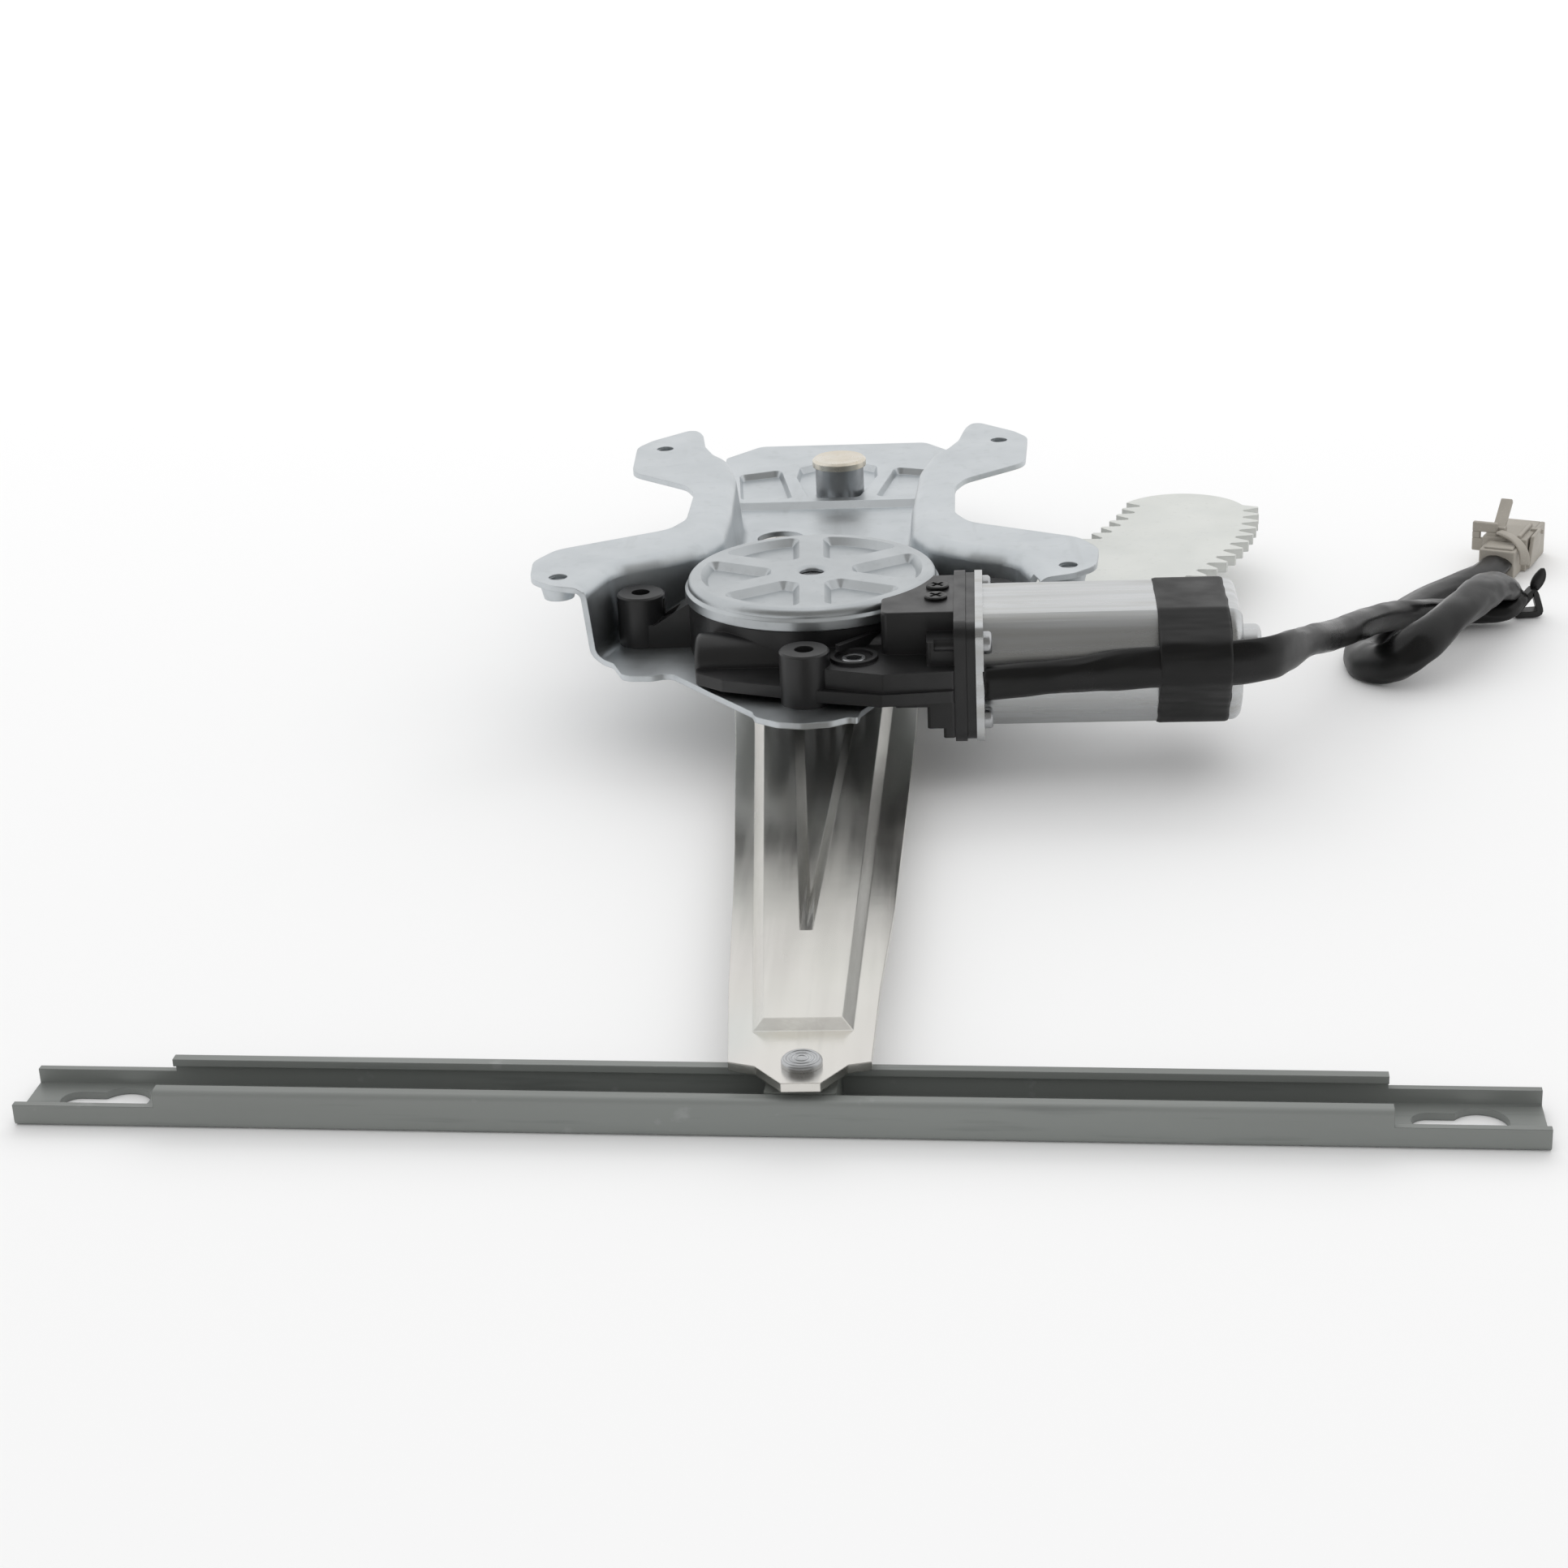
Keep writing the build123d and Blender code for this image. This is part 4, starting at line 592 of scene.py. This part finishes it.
def clip():
    """Thin strap bent to an upright three-cornered loop, with a leaf-shaped tail at its top."""
    centre = Vector((clip_place[0], clip_place[1], ground + clip_high / 2))
    corners = [Vector((-4.0, 0.0, 1.0 - clip_high / 2)), Vector((3.8, 0.0, 1.4 - clip_high / 2)),
               Vector((1.6, 0.0, clip_high / 2))]
    path = []
    for count, corner in enumerate(corners):
        before, after = corners[count - 1], corners[(count + 1) % 3]
        for share in (0.0, 0.25, 0.5, 0.75, 1.0):
            start = corner + (before - corner).normalized() * clip_bend
            last = corner + (after - corner).normalized() * clip_bend
            path.append(start.lerp(corner, share).lerp(corner.lerp(last, share), share))
    rings = []
    for count, spot in enumerate(path):
        forward = (path[(count + 1) % len(path)] - path[count - 1]).normalized()
        outward = forward.cross(Vector((0.0, 1.0, 0.0)))
        rings.append([(centre + spot + outward * (clip_half_thick * a)
                       + Vector((0.0, clip_half_wide * b, 0.0))) * mm for a, b in square])
    piece = add_piece("clip", tube_mesh("clip", rings, joined=True), "clip_black", "base")
    piece.data.shade_flat()
    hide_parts("harness_clip")
    tail = []
    for step in range(leaf_steps + 1):
        share = step / leaf_steps
        half = 0.5 + 1.4 * sin(pi * min(1.0, share * 0.9 + 0.1)) ** 0.8
        spot = centre + corners[2] + Vector((0.2 + 2.2 * share, 0.4 * share, -0.6 + 6.4 * share))
        tail.append([(spot + Vector((half * a, leaf_half_thick * b, 0.0))) * mm for a, b in square])
    add_piece("clip_tail", tube_mesh("clip_tail", tail), "clip_black", "base")
    return piece


def can_section(grow):
    """Outline of the motor can as points in Y and Z, grown by an amount."""
    points = []
    for turn in turns(can_steps):
        across = (can_r + grow) * cos(turn)
        high = max(-can_flat - grow, min(can_flat + grow, (can_r + grow) * sin(turn)))
        points.append(Vector((motor_y + across, motor_z + high)))
    return points


def stretched_outline(points, count):
    """Convex outline round points in Y and Z, with that many points evenly spaced along it."""
    corners = [points[index] for index in geometry.convex_hull_2d(points)]
    if sum(a.cross(b) for a, b in zip(corners, corners[1:] + corners[:1])) < 0:
        corners.reverse()
    first = min(range(len(corners)), key=lambda index: corners[index].y)
    corners = corners[first:] + corners[:first + 1]
    lengths = [(b - a).length for a, b in zip(corners, corners[1:])]
    total = sum(lengths)
    outline = []
    edge, passed = 0, 0.0
    for step in range(count):
        wanted = total * step / count
        while passed + lengths[edge] < wanted:
            passed += lengths[edge]
            edge += 1
        share = (wanted - passed) / lengths[edge]
        outline.append(corners[edge].lerp(corners[edge + 1], share))
    return outline


def tape():
    """Vinyl tape wound tight round the can and the flattened leads, with small wrinkles beside them."""
    wide, thick, _ = between(sleeve_sections, tape_section)
    leads = [Vector((tape_leads[0] + (thick / 2 + leads_slack) * leads_swell * cos(turn),
                     tape_leads[1] + (wide / 2 + leads_slack) * leads_swell * sin(turn)))
             for turn in turns(leads_steps)]
    outer = stretched_outline(can_section(tape_thick) + leads, tape_ring)
    middle = Vector((motor_y, motor_z))
    rings = [[Vector((tape_start, *(middle + (spot - middle) * inner_share))) for spot in outer]]
    for count in range(tape_rows + 1):
        across = count / tape_rows
        ring = []
        for spot in outer:
            outward = (spot - middle).normalized()
            near_leads = max(0.0, min(1.0, (motor_y - 12.0 - spot.x) / 8.0))
            wrinkle = noise.noise(Vector((across * 5.0, spot.x * 0.35, spot.y * 0.35)))
            fold = noise.noise(Vector((across * 2.0 + 7.0, spot.x * 0.9, spot.y * 0.9)))
            rise = 0.04 * wrinkle + 0.16 * fold * near_leads - (0.25 if count in (0, tape_rows) else 0.0)
            ragged = 0.35 * noise.noise(Vector((spot.x * 0.2, spot.y * 0.2, 9.0 * across)))
            place = spot + outward * rise
            ring.append(Vector((tape_start + (tape_end - tape_start) * across + ragged, place.x, place.y)))
        rings.append(ring)
    rings.append([Vector((tape_end, *(middle + (spot - middle) * inner_share))) for spot in outer])
    mesh = tube_mesh("tape", [[place * mm for place in ring] for ring in rings])
    piece = add_piece("tape", mesh, "tape_black", "base")
    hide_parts("tape_band")


def ear_threads():
    """The thread inside each ear's collar: one ridge that winds down the bore."""
    for count, (x, y) in enumerate(ear_places):
        rings = []
        windings = thread_depth / thread_pitch - thread_run_out
        steps = int(windings * thread_steps)
        for step in range(steps + 1):
            turn = 2 * pi * windings * step / steps
            level = thread_top - thread_pitch * turn / (2 * pi)
            outward = Vector((cos(turn), sin(turn), 0.0))
            centre = Vector((x, y, level)) + outward * thread_bore_r
            fade = min(1.0, 6.0 * step / steps, 6.0 * (steps - step) / steps) + 0.02
            crest = centre - outward * (thread_crest * fade)
            flank = Vector((0.0, 0.0, thread_flank * fade))
            root = centre + outward * thread_root
            rings.append([(root + flank) * mm, crest * mm, (root - flank) * mm])
        mesh = tube_mesh(f"ear_thread_{count}", rings)
        mesh.shade_flat()
        add_piece(f"ear_thread_{count}", mesh, "plate_zinc", "base")


def rivet_rings():
    """Turned rings on the riveted end of the guide stud."""
    low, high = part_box("guide_stud")
    middle = Vector(((low[0] + high[0]) / 2, (low[1] + high[1]) / 2, high[2]))
    for count, (radius, thick) in enumerate(rivet_ring_sizes):
        rings = []
        for turn in turns(rivet_steps):
            outward = Vector((cos(turn), sin(turn), 0.0))
            ring = []
            for around in turns(rivet_section_steps):
                lift = Vector((0, 0, rivet_ring_flat * thick * sin(around)))
                ring.append(middle + (outward * (radius + thick * cos(around)) + lift) * mm)
            rings.append(ring)
        name = f"rivet_ring_{count}"
        add_piece(name, tube_mesh(name, rings, joined=True), "pin_steel", "arm")


def floor(level):
    """A pale matt floor."""
    bpy.ops.mesh.primitive_plane_add(size=floor_size, location=(0, 0, level))
    plane = bpy.context.object
    plane.name = "floor"
    material = bpy.data.materials.new("floor")
    material.use_nodes = True
    shader = material.node_tree.nodes["Principled BSDF"]
    shader.inputs["Base Color"].default_value = floor_pale
    shader.inputs["Roughness"].default_value = 0.95
    shader.inputs["Specular IOR Level"].default_value = 0.2
    plane.data.materials.append(material)


def card(level):
    """A dim vaulted card in front, which only reflections show."""
    places, faces = [], []
    for step in range(card_steps + 1):
        turn = radians(-90 - card_half + 2 * card_half * step / card_steps)
        for row in range(card_rows + 1):
            rise = radians(card_rise * row / card_rows)
            places.append((card_reach * cos(rise) * cos(turn), card_reach * cos(rise) * sin(turn),
                           level + card_reach * sin(rise)))
    for step in range(card_steps):
        for row in range(card_rows):
            corner = step * (card_rows + 1) + row
            faces.append((corner, corner + card_rows + 1, corner + card_rows + 2, corner + 1))
    mesh = bpy.data.meshes.new("card")
    mesh.from_pydata(places, [], faces)
    vault = bpy.data.objects.new("card", mesh)
    scene.collection.objects.link(vault)
    material = bpy.data.materials.new("card")
    material.use_nodes = True
    shader = material.node_tree.nodes["Principled BSDF"]
    shader.inputs["Base Color"].default_value = (0.0, 0.0, 0.0, 1.0)
    shader.inputs["Roughness"].default_value = 1.0
    shader.inputs["Emission Color"].default_value = card_warm
    shader.inputs["Emission Strength"].default_value = card_level
    mesh.materials.append(material)
    vault.visible_camera = False
    vault.visible_diffuse = False
    vault.visible_shadow = False


def surround():
    """A white surround, a little dimmer as a light than it is in view and in reflections."""
    world = bpy.data.worlds.new("surround")
    scene.world = world
    world.use_nodes = True
    nodes, links = world.node_tree.nodes, world.node_tree.links
    background = nodes["Background"]
    background.inputs["Color"].default_value = (1.0, 1.0, 1.0, 1.0)
    path = nodes.new("ShaderNodeLightPath")
    shown = nodes.new("ShaderNodeMath")
    shown.operation = "MAXIMUM"
    links.new(path.outputs["Is Camera Ray"], shown.inputs[0])
    links.new(path.outputs["Is Glossy Ray"], shown.inputs[1])
    strength = nodes.new("ShaderNodeMapRange")
    strength.inputs["To Min"].default_value = surround_diffuse
    strength.inputs["To Max"].default_value = 1.0
    links.new(shown.outputs["Value"], strength.inputs["Value"])
    links.new(strength.outputs["Result"], background.inputs["Strength"])


def softbox():
    """A wide soft light behind and above, turned to the object."""
    light = bpy.data.lights.new("softbox", "AREA")
    light.shape = "RECTANGLE"
    light.size, light.size_y = softbox_size
    light.energy = softbox_level * pi * softbox_size[0] * softbox_size[1]
    piece = bpy.data.objects.new("softbox", light)
    scene.collection.objects.link(piece)
    piece.visible_glossy = False
    piece.location = softbox_place
    piece.rotation_euler = (-softbox_place).to_track_quat("-Z", "Y").to_euler()


def camera():
    """The photograph's camera."""
    right = Vector((cos(camera_heading), sin(camera_heading), 0.0))
    level_forward = Vector((-sin(camera_heading), cos(camera_heading), 0.0))
    forward = level_forward * cos(camera_pitch) - Vector((0.0, 0.0, sin(camera_pitch)))
    up = right.cross(forward)
    turned_right = right * cos(camera_roll) - up * sin(camera_roll)
    turned_up = right * sin(camera_roll) + up * cos(camera_roll)
    data = bpy.data.cameras.new("camera")
    data.sensor_fit = "HORIZONTAL"
    data.sensor_width = sensor_width
    data.lens = photo_focal / photo_width * sensor_width
    data.clip_start = 0.01
    piece = bpy.data.objects.new("camera", data)
    scene.collection.objects.link(piece)
    axes = Matrix((turned_right, turned_up, -forward)).transposed()
    piece.matrix_world = Matrix.Translation(camera_place) @ axes.to_4x4()
    scene.camera = piece


harness()
tape()
ear_threads()
rivet_rings()
floor_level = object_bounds()[0][2]
floor(floor_level)
card(floor_level)
surround()
softbox()
camera()
scene.view_settings.view_transform = "Standard"
